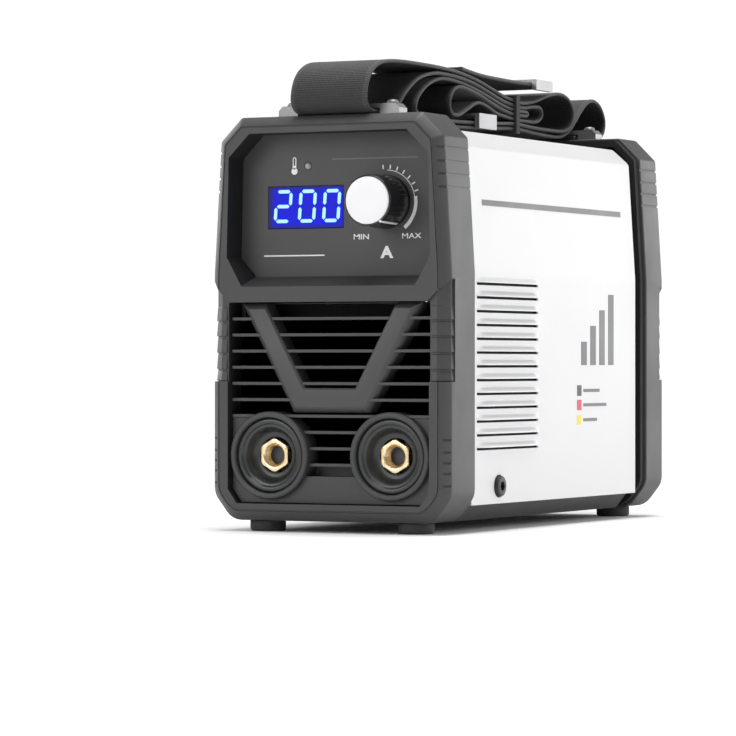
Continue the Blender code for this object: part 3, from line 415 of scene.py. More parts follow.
def circuitFinish(name):
    finish, tree, shader = newFinish(name)
    place = objectPlace(tree)
    bricks = addNode(tree, "TexBrick", {"Vector": place, "Scale": 160.0, "Mortar Size": 0.035})
    tracks = bricks.outputs["Fac"]
    pads = addNode(tree, "TexVoronoi", {"Vector": place, "Scale": 220.0}).outputs["Distance"]
    mask = blendColour(tree, tracks, (0.008, 0.075, 0.03), (0.02, 0.17, 0.07))
    dots = ramp(tree, pads, 1.0, 0.0, 0.16, 0.2)
    feed(tree, shader.inputs["Base Color"], blendColour(tree, dots, mask, (0.55, 0.53, 0.48)))
    feed(tree, shader.inputs["Roughness"], ramp(tree, tracks, 0.42, 0.3, 0.0, 1.0))
    relief(tree, shader, sums(tree, "ADD", tracks, dots), 0.05)
    return finish


def woundFinish(name, colour, pitch=1.3):
    finish, tree, shader = newFinish(name)
    apart = addNode(tree, "SeparateXYZ", {"Vector": objectPlace(tree)})
    turns = wave(tree, sums(tree, "ADD", apart.outputs["Z"], apart.outputs["X"]), pitch * mm)
    share = ramp(tree, turns, 0.0, 1.0, -1, 1)
    # Each turn is painted lighter on its crest and darker between turns: painted highlight and shade in
    # step with the relief
    feed(tree, shader.inputs["Base Color"], blendColour(tree, share, *shades(colour, 0.35)))
    feed(tree, shader.inputs["Roughness"], ramp(tree, noise(tree, 300), 0.28, 0.42))
    shader.inputs["Metallic"].default_value = 0.9
    relief(tree, shader, turns, 0.25)
    return finish


bumperPlastic = grainedFinish("moulded_bumper_plastic", (0.040, 0.040, 0.041), 0.5, 2600, 0.035, 0.12)
panelPlastic = grainedFinish("panel_plastic", (0.062, 0.062, 0.063), 0.6, 3200, 0.022, 0.08)
grillePlastic = grainedFinish("grille_plastic", (0.045, 0.045, 0.046), 0.45, 2400, 0.025, 0.12)
bracePlastic = grainedFinish("brace_plastic", (0.050, 0.050, 0.051), 0.48, 2600, 0.03, 0.1)
satinBlack = grainedFinish("satin_black_plastic", (0.010, 0.010, 0.011), 0.24, 3000, 0.012, 0.15)
socketPlastic = grainedFinish("socket_plastic", (0.026, 0.029, 0.029), 0.3, 3000, 0.012, 0.15)
innerBlack = grainedFinish("inner_black_plastic", (0.012, 0.012, 0.013), 0.5, 2200, 0.02, 0.12)
# Near-black painted shade: for the opening walls, the rear gasket and the sheets behind the grille and the
# louvres
shadowBlack = grainedFinish("shadow_black_plastic", (0.004, 0.004, 0.0045), 0.8, 1800, 0.02, 0.15)
footRubber = grainedFinish("foot_rubber", (0.028, 0.028, 0.029), 0.75, 1400, 0.06, 0.15)
whitePaint = grainedFinish("white_powder_coat", (0.56, 0.56, 0.565), 0.4, 1500, 0.012, 0.012, vary=0.03)
trayPaint = grainedFinish("tray_paint", (0.020, 0.020, 0.021), 0.45, 1500, 0.02, 0.1)
capPlastic = grainedFinish("cap_plastic", (0.82, 0.82, 0.83), 0.32, 2600, 0.008, 0.015, vary=0.03)
rockerPlastic = grainedFinish("rocker_plastic", (0.42, 0.012, 0.012), 0.3, 2600, 0.01, 0.08)
whitePrint = grainedFinish("white_print", (0.80, 0.80, 0.79), 0.5, 3000, 0.006, 0.04)
greyPrint = grainedFinish("grey_print", (0.11, 0.11, 0.113), 0.5, 3000, 0.006, 0.06)
darkPrint = grainedFinish("dark_print", (0.03, 0.03, 0.032), 0.5, 3000, 0.006, 0.06)
redPrint = grainedFinish("red_print", (0.52, 0.03, 0.05), 0.5, 3000, 0.006, 0.06)
yellowPrint = grainedFinish("yellow_print", (0.72, 0.55, 0.03), 0.5, 3000, 0.006, 0.06)
ledLens = grainedFinish("led_lens_plastic", (0.30, 0.29, 0.27), 0.25, 2000, 0.01, 0.1)
sleevePlastic = grainedFinish("capacitor_sleeve_plastic", (0.012, 0.018, 0.06), 0.35, 1800, 0.02, 0.12)
ferriteFinish = grainedFinish("ferrite_grain", (0.045, 0.045, 0.05), 0.6, 1300, 0.06, 0.2)
platedSteel = brushedFinish("plated_steel_brushed", (0.58, 0.59, 0.61), 0.3)
castSteel = grainedFinish("bracket_steel", (0.27, 0.27, 0.275), 0.45, 1800, 0.02, 0.08, metallic=0.8)
finMetal = brushedFinish("extruded_aluminium", (0.56, 0.57, 0.58), 0.36)
copperBar = brushedFinish("copper_bar", (0.72, 0.38, 0.24), 0.3)
copperWire = woundFinish("copper_winding", (0.55, 0.24, 0.12))
circuitGreen = circuitFinish("circuit_board")
strapWeave = webbingFinish("ribbed_webbing")
# A darker copy of the webbing: painted shade for the band's inward side
strapShadedSide = webbingFinish("ribbed_webbing_painted_shade", 0.3)
screenBlue = screenFinish("backlit_blue")
digitGlow = glowFinish("digit_glow", (0.24, 0.5, 1.0), 0.95)
brassOf = {name: turnedFinish("turned_brass_" + name, (0.88, 0.69, 0.42), 0.27, middleOf(x), middleOf(z))
           for name, (x, _, z) in output.items()}
print("finishes ready")


# Camera, lights and floor

view = {"right": 761.2, "ahead": -1454.1, "height": 75.0, "turn": 27.0, "lens": 182.4, "rise": -0.0068}


def addCamera():
    camera = bpy.data.objects.new("camera", bpy.data.cameras.new("camera"))
    bpy.context.collection.objects.link(camera)
    camera.location = at(view["right"], view["ahead"], view["height"])
    camera.rotation_euler = (pi / 2, 0, radians(view["turn"]))
    camera.data.lens = view["lens"]
    camera.data.sensor_width = 36
    camera.data.shift_y = view["rise"]
    camera.data.clip_end = 20
    bpy.context.scene.camera = camera


# name: (place, aim, width, height, watts)
lamps = {
    "side_softbox": ((1500, 300, 420), (50, 120, 90), 1000, 900, 6.5),
    "rim_softbox": ((850, 1550, 220), (50, 120, 90), 1500, 900, 13),
    "front_softbox": ((-600, -1300, 600), (0, 0, 90), 800, 700, 7.2),
    "top_softbox": ((100, 100, 1300), (0, 100, 180), 900, 700, 16),
    "left_softbox": ((-1200, 600, 600), (0, 120, 90), 700, 900, 7),
}


def addLights():
    for name, (place, aim, width, height, power) in lamps.items():
        lamp = bpy.data.lights.new(name, "AREA")
        lamp.shape = "RECTANGLE"
        lamp.size = width * mm
        lamp.size_y = height * mm
        lamp.energy = power
        holder = bpy.data.objects.new(name, lamp)
        bpy.context.collection.objects.link(holder)
        holder.location = at(*place)
        holder.rotation_euler = (at(*aim) - at(*place)).to_track_quat("-Z", "Y").to_euler()
    world = bpy.data.worlds.new("studio")
    world.use_nodes = True
    tree = world.node_tree
    shade = tree.nodes["Background"]
    shade.inputs["Color"].default_value = (0.99, 0.99, 1.0, 1)
    seen = addNode(tree, "LightPath").outputs["Is Camera Ray"]
    feed(tree, shade.inputs["Strength"], ramp(tree, seen, 0.42, 1.05, 0.0, 1.0))
    bpy.context.scene.world = world
    bpy.context.scene.view_settings.view_transform = "Standard"


def floorFinish():
    # Pale near the machine, where it takes the shadow, and glowing white further out
    finish, tree, shader = newFinish("studio_floor")
    apart = addNode(tree, "SeparateXYZ", {"Vector": objectPlace(tree)})
    share = ramp(tree, distance(tree, apart.outputs["X"], apart.outputs["Y"]), 0.0, 1.0, 0.22, 0.5)
    glow = addNode(tree, "Emission", {"Color": (0.99, 0.99, 1.0, 1), "Strength": 1.05})
    shader.inputs["Base Color"].default_value = (0.95, 0.95, 0.955, 1)
    feed(tree, shader.inputs["Roughness"], ramp(tree, noise(tree, 60), 0.7, 0.8))
    blend = addNode(tree, "MixShader")
    feed(tree, blend.inputs[0], share)
    tree.links.new(shader.outputs[0], blend.inputs[1])
    tree.links.new(glow.outputs[0], blend.inputs[2])
    tree.links.new(blend.outputs[0], tree.nodes["Material Output"].inputs["Surface"])
    return finish


def addFloor():
    size = 5000
    corners = ((-size, -size), (size, -size), (size, size), (-size, size))
    floor = bpy.data.meshes.new("floor")
    floor.from_pydata([at(x, y, 0) for x, y in corners], [], [(0, 1, 2, 3)])
    floor.materials.append(floorFinish())
    piece = bpy.data.objects.new("floor", floor)
    bpy.context.collection.objects.link(piece)


addCamera()
addLights()
addFloor()
print("camera, lights and floor placed")


# Bumper rings

# Pairs of cuts are (across, up); waistOuter is the slanted line over the shingles: (x, low end, high end)
bumper = {
    "chamfer": 4.0, "wall": 4.0, "lip": 13.7, "shoulder": 115.0, "lean": 3.5, "topCorner": 10.5,
    "lowCorner": (9.0, 11.5), "cornerRadius": 2.5, "footRadius": 9.0, "sill": 108.9, "sillRise": 4.6,
    "bandBottom": 102.0, "openingHalf": 50.0, "openingTopDrop": 7.5, "openingBottom": 12.5,
    "openingCut": (4.5, 6.3), "sillCut": (7, 13), "jambLean": 0.5,
    "waistInner": 49.6, "waistOuter": (49.6, 102.3, 111.8), "waistFloor": 1.3, "waistCorner": 53.2,
    "waistBack": 7.6, "shingles": (100.4, 93.5, 86.6, 79.3, 72.0, 66.8), "shingleLip": 0.8,
    "shingleIn": 1.2, "shingleGap": 0.22,
    "upperGrips": (168.9, 162.9, 157.3, 151.6), "lowerGrips": (41.5, 36.1, 31.5, 26.9, 21.5),
    "gripDepth": 0.45, "gripHeight": 1.0, "gripEdge": 1.3, "gasket": 4.0, "gasketInsets": (1.4, 4.4),
}


def ringOutline(shrink=0.0):
    half, height = case["halfWidth"], case["height"]
    corners = mirrored([
        (half - bumper["lowCorner"][0], case["bottom"]), (half, case["bottom"] + bumper["lowCorner"][1]),
        (half, bumper["shoulder"]), (half - bumper["lean"], height - bumper["topCorner"]),
        (half - bumper["lean"] - bumper["topCorner"], height)])
    if shrink:
        corners = inset(corners, shrink)
    upper, lower = bumper["cornerRadius"], bumper["footRadius"]
    return rounded(corners, [lower, lower, *[upper] * 6, lower, lower])


def upperOpening(bottom):
    half, top = bumper["openingHalf"], case["height"] - bumper["openingTopDrop"]
    (across, up), lean, corner = bumper["sillCut"], bumper["jambLean"], bumper["topCorner"]
    corners = [(half - across, bottom), (half + lean, bumper["sill"] + up), (half - lean, top - corner),
               (half - lean - corner, top)]
    return rounded(mirrored(corners), 1.2, 3)


def lowerCorners():
    half, low = bumper["openingHalf"], bumper["openingBottom"]
    across, up = bumper["openingCut"]
    return mirrored([(half - across, low), (half, low + up), (half, bumper["bandBottom"])])


def lowerOpening():
    return rounded(lowerCorners(), 0.8, 3)


def sideAt(z):
    # Half width of the ring at a height, with the lean of its upper sides
    leanTop = case["height"] - bumper["topCorner"]
    share = max(0.0, z - bumper["shoulder"]) / (leanTop - bumper["shoulder"])
    return case["halfWidth"] - bumper["lean"] * share


def waistPlan(side, out):
    # The deeper corner seen from above; out moves its outer faces outwards
    return [(side * (bumper["waistInner"] - 1.5), bumper["waistFloor"] - out),
            (side * (bumper["waistCorner"] + 0.3 * out), bumper["waistFloor"] - out),
            (side * (bumper["waistCorner"] + 2.4 + 0.8 * out), bumper["waistFloor"] + 2.2 - 0.8 * out),
            (side * (case["halfWidth"] - 1.2 + 0.7 * out), bumper["waistBack"] - 2.0 - 0.4 * out),
            (side * (case["halfWidth"] - 1.0 + 0.7 * out), bumper["waistBack"])]


def waistTool(side):
    inner, low, high = bumper["waistOuter"]
    bottom = bumper["shingles"][-1]
    beyond = case["halfWidth"] + 2
    rise = (high - low) / (case["halfWidth"] - inner)
    outline = [(side * (inner - 0.4), bottom), (side * beyond, bottom),
               (side * beyond, low + rise * (beyond - inner)), (side * (inner - 0.4), low - 0.4 * rise)]
    plan = waistPlan(side, 0.0)
    outward = [(side * beyond, bumper["waistBack"]), (side * beyond, -2), (side * (inner - 1.5), -2)]
    removed = skin([[(x, y, z) for x, y in plan + outward] for z in (bottom - 5, high + 12)])
    return combined(prism(outline, -3, bumper["waistBack"] + 1), removed, "INTERSECT")


def shingle(side, low, high):
    # One moulded step of the waist; its lower edge stands out by the lip
    gap = bumper["shingleGap"]
    inner = side * (bumper["waistInner"] + bumper["shingleIn"])
    behind = [(side * (case["halfWidth"] - 3.5), bumper["waistBack"] + 1.5), (inner, 6.0)]
    rings = []
    for z, out in ((low + gap, 0.0), (low + gap + 0.25, bumper["shingleLip"]),
                   (high - gap - 0.5, 0.25), (high - gap, -0.2)):
        first, *plan = waistPlan(side, out)
        rings.append([(x, y, z) for x, y in [(inner, first[1]), *plan, *behind]])
    return skin(rings)


def gripTool(side, z, run):
    # A shallow notch that follows the chamfer and, where the run is long enough, the side behind it
    depth, far = bumper["gripDepth"], sideAt(z)
    chamfer = bumper["chamfer"] + 0.6
    start, end = run
    inner = [(far - depth - max(0.0, chamfer - start), start), (far - depth, chamfer),
             (far - depth, max(end, chamfer))]
    if end <= chamfer:
        inner = [inner[0], (far - depth - (chamfer - end), end)]
    plan = [(side * x, y) for x, y in inner + [(far + 3, inner[-1][1]), (far + 3, start)]]
    half = bumper["gripHeight"] / 2
    return skin([[(x, y, height) for x, y in plan] for height in (z - half, z + half)])


def gripTools(side):
    long, short = (bumper["gripEdge"], case["ringDepth"] + 2), (bumper["gripEdge"], bumper["chamfer"])
    return ([gripTool(side, z, long) for z in bumper["upperGrips"]]
            + [gripTool(side, z, short) for z in bumper["lowerGrips"]])


def getsOpeningShade(face):
    # The walls of both openings take the near-black painted shade, except for the sloping sill
    spot, facing = face.calc_center_median(), face.normal
    inside = abs(spot.x) < bumper["openingHalf"] + 0.7 and spot.y < bumper["lip"] - 0.1
    between = bumper["openingBottom"] - 0.2 < spot.z < case["height"] - bumper["openingTopDrop"] + 0.2
    sill = facing.z > 0.8 and spot.z > bumper["bandBottom"]
    return inside and between and abs(facing.y) < 0.3 and not sill


def bumperRing(name, node, deep, rear=False):
    # A narrow groove follows the inner edge of the rounded chamfer
    edge = [(5.0, 0.0), (4.85, 0.45), (4.45, 0.45), (4.2, 0.1), (3.8, 0.3), (0.35, 3.75), (0.08, 4.25),
            (0.0, 4.9), (0.0, deep - 0.5), (0.4, deep)]
    ring = skin([[(x, y, z) for x, z in ringOutline(shrink)] for shrink, y in edge])
    slope = bumper["sillRise"] / bumper["lip"]
    hollow = prism(ringOutline(bumper["wall"]), bumper["lip"], deep + 1)
    window = skin([[(x, y, z) for x, z in upperOpening(bumper["sill"] + slope * y)]
                   for y in (-1, bumper["lip"] + 1)])
    ring = carve(ring, hollow, window, prism(lowerOpening(), -1, bumper["lip"] + 1))
    for side in (-1, 1):
        ring = carve(ring, waistTool(side), gathered(gripTools(side)))
        levels = bumper["shingles"]
        ring = weld(ring, gathered([shingle(side, low, high) for high, low in zip(levels, levels[1:])]))
    ring.normal_update()
    for face in ring.faces:
        face.material_index = int(getsOpeningShade(face))
    piece = newPiece(name, ring, bumperPlastic, node=node, rear=rear)
    # Second finish: near-black painted shade on the opening walls
    piece.data.materials.append(shadowBlack)
    return soften(piece, 0.35, 2, 40)


bumperRing("front_bumper", "front_ring", case["ringDepth"])
bumperRing("rear_bumper", "rear_ring", case["ringDepth"] - bumper["gasket"], rear=True)


def rearGasket():
    outer, inner = bumper["gasketInsets"]
    near = case["ringDepth"] - bumper["gasket"] + 0.1
    return carve(prism(ringOutline(outer), near, near + bumper["gasket"]),
                 prism(ringOutline(inner), near - 1, near + bumper["gasket"] + 2))


# The black rubber seal takes the near-black painted-shade finish, so that the gap round the cover also
# reads as shadow
newPiece("rear_gasket", rearGasket(), shadowBlack, node="rear_seal", rear=True)
print("bumper rings built")


# Cover with pressed louvres

cover = {
    "sheet": 1.0, "inset": 2.0, "topDrop": 6.0, "bottom": sizeOf("top_cover")[2][0],
    "front": sizeOf("top_cover")[1][0], "back": sizeOf("top_cover")[1][1], "shoulderRadius": 3.0,
    "louvres": 13, "pitch": 6.1, "gap": 2.6, "length": 65.0, "topLouvre": 112.2, "start": 34.0,
    "hoodProud": 1.65, "hoodTaper": 7.0, "hoodRise": 1.3, "hoodDrop": 1.55,
    "screwHole": 5.1,
}
coverSide = case["halfWidth"] - cover["inset"]
louvreTops = [cover["topLouvre"] - number * cover["pitch"] for number in range(cover["louvres"])]


def coverHalf(shrink):
    side, top = coverSide - shrink, case["height"] - cover["topDrop"] - shrink
    corner = bumper["topCorner"]
    # The slope at the top is a little smaller than the bumper's, so that the cover stays inside it
    return [(side, cover["bottom"]), (side, bumper["shoulder"]),
            (side - bumper["lean"], top - corner + 3), (side - bumper["lean"] - corner + 2, top)]


def coverSection():
    outer = rounded(mirrored(coverHalf(0)), cover["shoulderRadius"], 5)
    inner = rounded(mirrored(coverHalf(cover["sheet"])), cover["shoulderRadius"] - cover["sheet"], 5)
    # The arch is open below: start each outline at its right foot
    foot = [(coverSide, cover["bottom"])] + outer[6:-6] + [(-coverSide, cover["bottom"])]
    inside = [(-coverSide + cover["sheet"], cover["bottom"])] + list(reversed(inner[6:-6]))
    return foot + inside + [(coverSide - cover["sheet"], cover["bottom"])]


def coverShell():
    shell = prism(coverSection(), cover["front"], cover["back"])
    slots, y = [], (cover["start"], cover["start"] + cover["length"])
    for top in louvreTops:
        for side in (-1, 1):
            x = sorted((side * (coverSide - 3), side * (coverSide + 1)))
            slots.append(block(x, y, (top - cover["gap"], top)))
    return carve(shell, gathered(slots), screwBar(cover["screwHole"]))


def screwBar(radius):
    _, y, z = sizeOf("side_screw_right")
    turn = Matrix.Translation((0, middleOf(y), middleOf(z))) @ Matrix.Rotation(pi / 2, 4, "Z")
    bar = prism(circle(radius, 40), -case["halfWidth"] - 1, case["halfWidth"] + 1)
    bmesh.ops.transform(bar, matrix=turn, verts=bar.verts)
    return bar


def louvreHood(side, top):
    # Rings run along the louvre; each is the hood's section, flush at both ends
    steps, length = 26, cover["length"] + 2
    high, low = top + cover["hoodRise"], top - cover["hoodDrop"]
    rings = []
    for step in range(steps + 1):
        run = length * step / steps
        share = min(1.0, min(run, length - run) / cover["hoodTaper"])
        swell = cover["hoodProud"] * (share * share * (3 - 2 * share))
        outer, inner = [], []
        for part in range(9):
            t = part / 8
            lift = swell * t * t * (3 - 2 * t)
            z = high + (low - high) * t
            outer.append((side * (coverSide + 0.02 + lift), cover["start"] - 1 + run, z))
            inner.append((side * (coverSide - 0.75 + lift), cover["start"] - 1 + run, z + 0.12 * t))
        rings.append(outer + list(reversed(inner)))
    return skin(rings)


soften(newPiece("case_cover", coverShell(), whitePaint, node="top_cover"), 0.22, 2, 40)
for name, side in bothSides:
    hoods = gathered([louvreHood(side, top) for top in louvreTops])
    newPiece("louvre_hoods_" + name, hoods, whitePaint, sharp=50)
print("cover built")


# Plain printed shapes on the sides

sidePrint = {
    "thickness": 0.12, "line": {"y": (43.0, 199.0), "z": (145.0, 147.6)},
    "bars": {"start": 148.0, "width": 6.4, "pitch": 10.6, "low": 74.0, "heights": (11.0, 18.5, 26.0, 33.5)},
    "chips": {"y": (143.2, 148.2), "dark": (59.6, 64.6), "red": (52.9, 57.8), "yellow": (46.1, 50.6)},
    "notes": {"start": 150.4, "height": 1.5, "lengths": {"dark": 19.0, "red": 27.0, "yellow": 16.0}},
}


def plate(side, y, z):
    # Lies on the cover's side, which leans inwards above the shoulder
    foot, (leanSide, leanTop) = bumper["shoulder"], coverHalf(0)[2]
    sunk, proud = -0.1, sidePrint["thickness"]
    outline = []
    for height, lift in ((z[0], sunk), (z[0], proud), (z[1], proud), (z[1], sunk)):
        lean = (coverSide - leanSide) * max(0.0, height - foot) / (leanTop - foot)
        outline.append((side * (coverSide - lean + lift), height))
    return prism(outline, *y)


def greyPlates(side):
    # Rising bars, and a short line beside each coloured chip; both sides carry the same print
    bars, chips, notes = sidePrint["bars"], sidePrint["chips"], sidePrint["notes"]
    grey = []
    for i, height in enumerate(bars["heights"]):
        start = bars["start"] + i * bars["pitch"]
        grey.append(plate(side, (start, start + bars["width"]), (bars["low"], bars["low"] + height)))
    for key, length in notes["lengths"].items():
        middle = middleOf(chips[key])
        grey.append(plate(side, (notes["start"], notes["start"] + length),
                          (middle - notes["height"] / 2, middle + notes["height"] / 2)))
    return gathered(grey)


for name, side in bothSides:
    newPiece("side_bars_" + name, greyPlates(side), greyPrint)
    newPiece("side_line_" + name, plate(side, **sidePrint["line"]), greyPrint)
    for key, finish in (("dark", darkPrint), ("red", redPrint), ("yellow", yellowPrint)):
        chip = plate(side, sidePrint["chips"]["y"], sidePrint["chips"][key])
        newPiece(f"side_chip_{key}_{name}", chip, finish)
print("side print built")


# Side screws with a hexagon recess

sideBolt = {"radius": 4.7, "height": 2.7, "recess": 2.3, "recessDepth": 1.9, "sunk": 0.9}


def hexScrew():
    radius, height = sideBolt["radius"], sideBolt["height"]
    head = lathe([(0.2, height), (radius - 0.9, height), (radius - 0.3, height - 0.25),
                  (radius, height - 0.9), (radius, 0), (0.2, 0)], sides=48, closed=False)
    return carve(head, prism(circle(sideBolt["recess"], 6), height - sideBolt["recessDepth"], height + 1))


for name, side in bothSides:
    _, y, z = sizeOf("side_screw_" + name)
    move = (Matrix.Translation((side * (coverSide - sideBolt["sunk"]), middleOf(y), middleOf(z)))
            @ Matrix.Rotation(-side * pi / 2, 4, "Z"))
    soften(newPiece("side_bolt_" + name, hexScrew(), innerBlack, node="side_screw_" + name,
                    move=move), 0.12)
print("side screws built")


# Control panel

panel = {"print": 0.12, "digitHeight": 13.2, "digitWidth": 7.2, "digitPitch": 12.2, "digitLeft": -33.2,
         "digitRise": 0.5, "stroke": 1.55, "slant": 0.075}
segments = {"a": ((0, 1), (1, 1)), "b": ((1, 1), (1, 0.5)), "c": ((1, 0.5), (1, 0)), "d": ((0, 0), (1, 0)),
            "e": ((0, 0.5), (0, 0)), "f": ((0, 1), (0, 0.5)), "g": ((0, 0.5), (1, 0.5))}
digitShapes = {"2": "abged", "0": "abcdef"}


def stroke(start, end, width, front, back, gap=0.0):
    # A bar with pointed ends, as in a segment display
    start, end = Vector(start), Vector(end)
    along = (end - start).normalized()
    normal = Vector((-along.y, along.x)) * width / 2
    a, b = start + along * gap, end - along * gap
    tip = along * width / 2
    corners = [a - tip * 0.4, a + tip * 0.6 - normal, b - tip * 0.6 - normal, b + tip * 0.4,
               b - tip * 0.6 + normal, a + tip * 0.6 + normal]
    return prism([tuple(c) for c in corners], front, back)


def digitSegments():
    _, y, (low, high) = sizeOf("display_window")
    base = middleOf((low, high)) - panel["digitHeight"] / 2 + panel["digitRise"]
    shapes = []
    for number, figure in enumerate("200"):
        left = panel["digitLeft"] + number * panel["digitPitch"]
        for key in digitShapes[figure]:
            ends = []
            for u, v in segments[key]:
                z = base + v * panel["digitHeight"]
                ends.append((left + u * panel["digitWidth"] + (z - base) * panel["slant"], z))
            shapes.append(stroke(*ends, panel["stroke"], y[0] - panel["print"], y[0] + 0.1, 0.75))
    return gathered(shapes)


newPiece("display_digits", digitSegments(), digitGlow)

# Angles in degrees from the right; each arc is (start, end, inner radius, outer radius)
dial = {"centre": (middleOf(sizeOf("knob_body")[0]), middleOf(sizeOf("knob_body")[2])),
        "tickInner": 14.6, "tickOuter": 16.4, "tickStart": 96.0, "tickEnd": 18.0, "ticks": 7,
        "pointer": -56.0, "thin": (88.0, 9.0, 13.9, 14.2), "thick": (9.0, -52.0, 13.7, 15.3)}


def printed(outline):
    return prism(outline, case["panel"] - panel["print"], case["panel"] + 0.1)


def dialTicks():
    x, z = dial["centre"]
    shapes = []
    for i in range(dial["ticks"]):
        angle = radians(dial["tickStart"] + (dial["tickEnd"] - dial["tickStart"]) * i / (dial["ticks"] - 1))
        along, across = Vector((cos(angle), sin(angle))), Vector((-sin(angle), cos(angle))) * 0.3
        near, far = Vector((x, z)) + along * dial["tickInner"], Vector((x, z)) + along * dial["tickOuter"]
        corners = (near - across, far - across, far + across, near + across)
        shapes.append(printed([tuple(corner) for corner in corners]))
    return shapes


def dialArc(begin, end, inner, outer):
    x, z = dial["centre"]
    angles = [radians(begin + (end - begin) * i / 40) for i in range(41)]
    far = [(x + outer * cos(a), z + outer * sin(a)) for a in angles]
    near = [(x + inner * cos(a), z + inner * sin(a)) for a in reversed(angles)]
    return printed(far + near)


dialMarks = gathered([*dialTicks(), dialArc(*dial["thin"]), dialArc(*dial["thick"])])
newPiece("dial_scale", dialMarks, whitePrint)


def textPiece(name, words, x, z, size, width, bold):
    # Letters of the built-in font, stood up on the panel's face
    curve = bpy.data.curves.new(name, "FONT")
    curve.body = words
    curve.align_x = "CENTER"
    curve.align_y = "CENTER"
    curve.size = size
    curve.extrude = panel["print"] / 2
    curve.offset = bold
    source = bpy.data.objects.new(name + "_curve", curve)
    bpy.context.collection.objects.link(source)
    bpy.context.view_layer.update()
    mesh = bpy.data.meshes.new_from_object(source.evaluated_get(bpy.context.evaluated_depsgraph_get()))
    shape = bmesh.new()
    shape.from_mesh(mesh)
    bmesh.ops.remove_doubles(shape, verts=shape.verts, dist=1e-4)
    bpy.data.objects.remove(source, do_unlink=True)
    bpy.data.curves.remove(curve)
    bpy.data.meshes.remove(mesh)
    move = (Matrix.Translation((x, case["panel"] - panel["print"] / 2, z)) @ Matrix.Rotation(pi / 2, 4, "X")
            @ Matrix.Diagonal((width, 1, 1, 1)))
    newPiece(name, shape, whitePrint, move=move)


# name: (words, x, z, size, widening, boldness)
marks = {"mark_min": ("MIN", 9.9, 130.7, 3.3, 1.35, 0.04),
         "mark_max": ("MAX", 34.6, 130.8, 3.3, 1.35, 0.04),
         "mark_amps": ("A", 22.5, 123.6, 7.0, 1.15, 0.3)}
for name, mark in marks.items():
    textPiece(name, *mark)

symbol = {"x": -23.6, "z": 162.4, "tube": (0.85, -1, 4.4), "hollow": (0.45, 0.6, 4.0), "bulb": 1.5,
          "bulbDrop": 1.9}
panelLines = {"upper": ((-4.8, 37.7), (165.2, 165.8)), "lower": ((-39.0, -8.5), (122.6, 123.2))}


def upright(half, low, high):
    x, z = symbol["x"], symbol["z"]
    return [(x - half, z + low), (x + half, z + low), (x + half, z + high), (x - half, z + high)]


def thermometer():
    outer = printed(rounded(upright(*symbol["tube"]), 0.8, 5))
    inner = prism(rounded(upright(*symbol["hollow"]), 0.42, 5), case["panel"] - 1, case["panel"] + 1)
    return gathered([carve(outer, inner),
                     printed(circle(symbol["bulb"], 32, symbol["x"], symbol["z"] - symbol["bulbDrop"]))])


def panelLine(key):
    (left, right), (low, high) = panelLines[key]
    return printed([(left, low), (right, low), (right, high), (left, high)])


newPiece("heat_symbol", thermometer(), whitePrint)
newPiece("panel_line_upper", panelLine("upper"), greyPrint)
newPiece("panel_line_lower", panelLine("lower"), whitePrint)
print("control panel printed")


# Knob: fluted skirt, pale cap and pointer

knob = {"radius": 12.0, "front": 11.3, "flutes": 30, "fluteDepth": 0.14, "cap": 10.4,
        "y": sizeOf("knob_body")[1], "capFront": sizeOf("knob_cap")[1][0]}


def knobSkirt():
    x, z = dial["centre"]
    near, far = knob["y"]
    sides = knob["flutes"] * 6
    rings = []
    for radius, y, depth in ((knob["cap"] + 0.25, near + 1.2, 0), (knob["cap"] + 0.25, near + 0.1, 0),
                             (knob["cap"] + 0.45, near, 0), (knob["front"] - 0.25, near + 0.05, 0),
                             (knob["front"], near + 0.5, 0.0), (knob["front"] + 0.1, near + 1.6, 1),
                             (knob["radius"] - 0.05, far - 2.2, 1), (knob["radius"], far - 1.2, 0),
                             (knob["radius"], far, 0), (knob["radius"] - 1, far, 0)):
        ring = []
        for i in range(sides):
            angle = 2 * pi * i / sides
            dip = knob["fluteDepth"] * depth * (0.5 - 0.5 * cos(knob["flutes"] * angle)) ** 2
            ring.append((x + (radius - dip) * cos(angle), y, z + (radius - dip) * sin(angle)))
        rings.append(ring)
    return skin(rings)


def knobCap():
    x, z = dial["centre"]
    near, back = knob["capFront"], knob["y"][0] + 0.9
    radius = knob["cap"]
    return lathe([(0.3, near + 0.12), (radius * 0.55, near + 0.06), (radius - 1.1, near),
                  (radius - 0.45, near + 0.1), (radius - 0.1, near + 0.4), (radius, near + 0.8),
                  (radius, back)], x, z, 96, closed=False)


def knobPointer():
    x, z = dial["centre"]
    near, far = knob["y"]
    angle = radians(dial["pointer"])
    along, across = Vector((cos(angle), sin(angle))), Vector((-sin(angle), cos(angle))) * 0.55
    inner = Vector((x, z)) + along * (knob["front"] - 0.6)
    rings = []
    for y, reach in ((near - 0.02, knob["front"] + 0.06), (near + 1.6, knob["front"] + 0.22),
                     (far - 2.2, knob["radius"] + 0.1)):
        outer = Vector((x, z)) + along * reach
        corners = (inner - across, outer - across, outer + across, inner + across)
        rings.append([(corner.x, y, corner.y) for corner in corners])
    return skin(rings)


newPiece("knob_skirt", knobSkirt(), satinBlack, "knob", "knob_body", sharp=60)
newPiece("knob_face", knobCap(), capPlastic, "knob", "knob_cap")
newPiece("knob_pointer", knobPointer(), whitePrint, "knob")
print("knob built")


# Grille, socket plate and guard brace

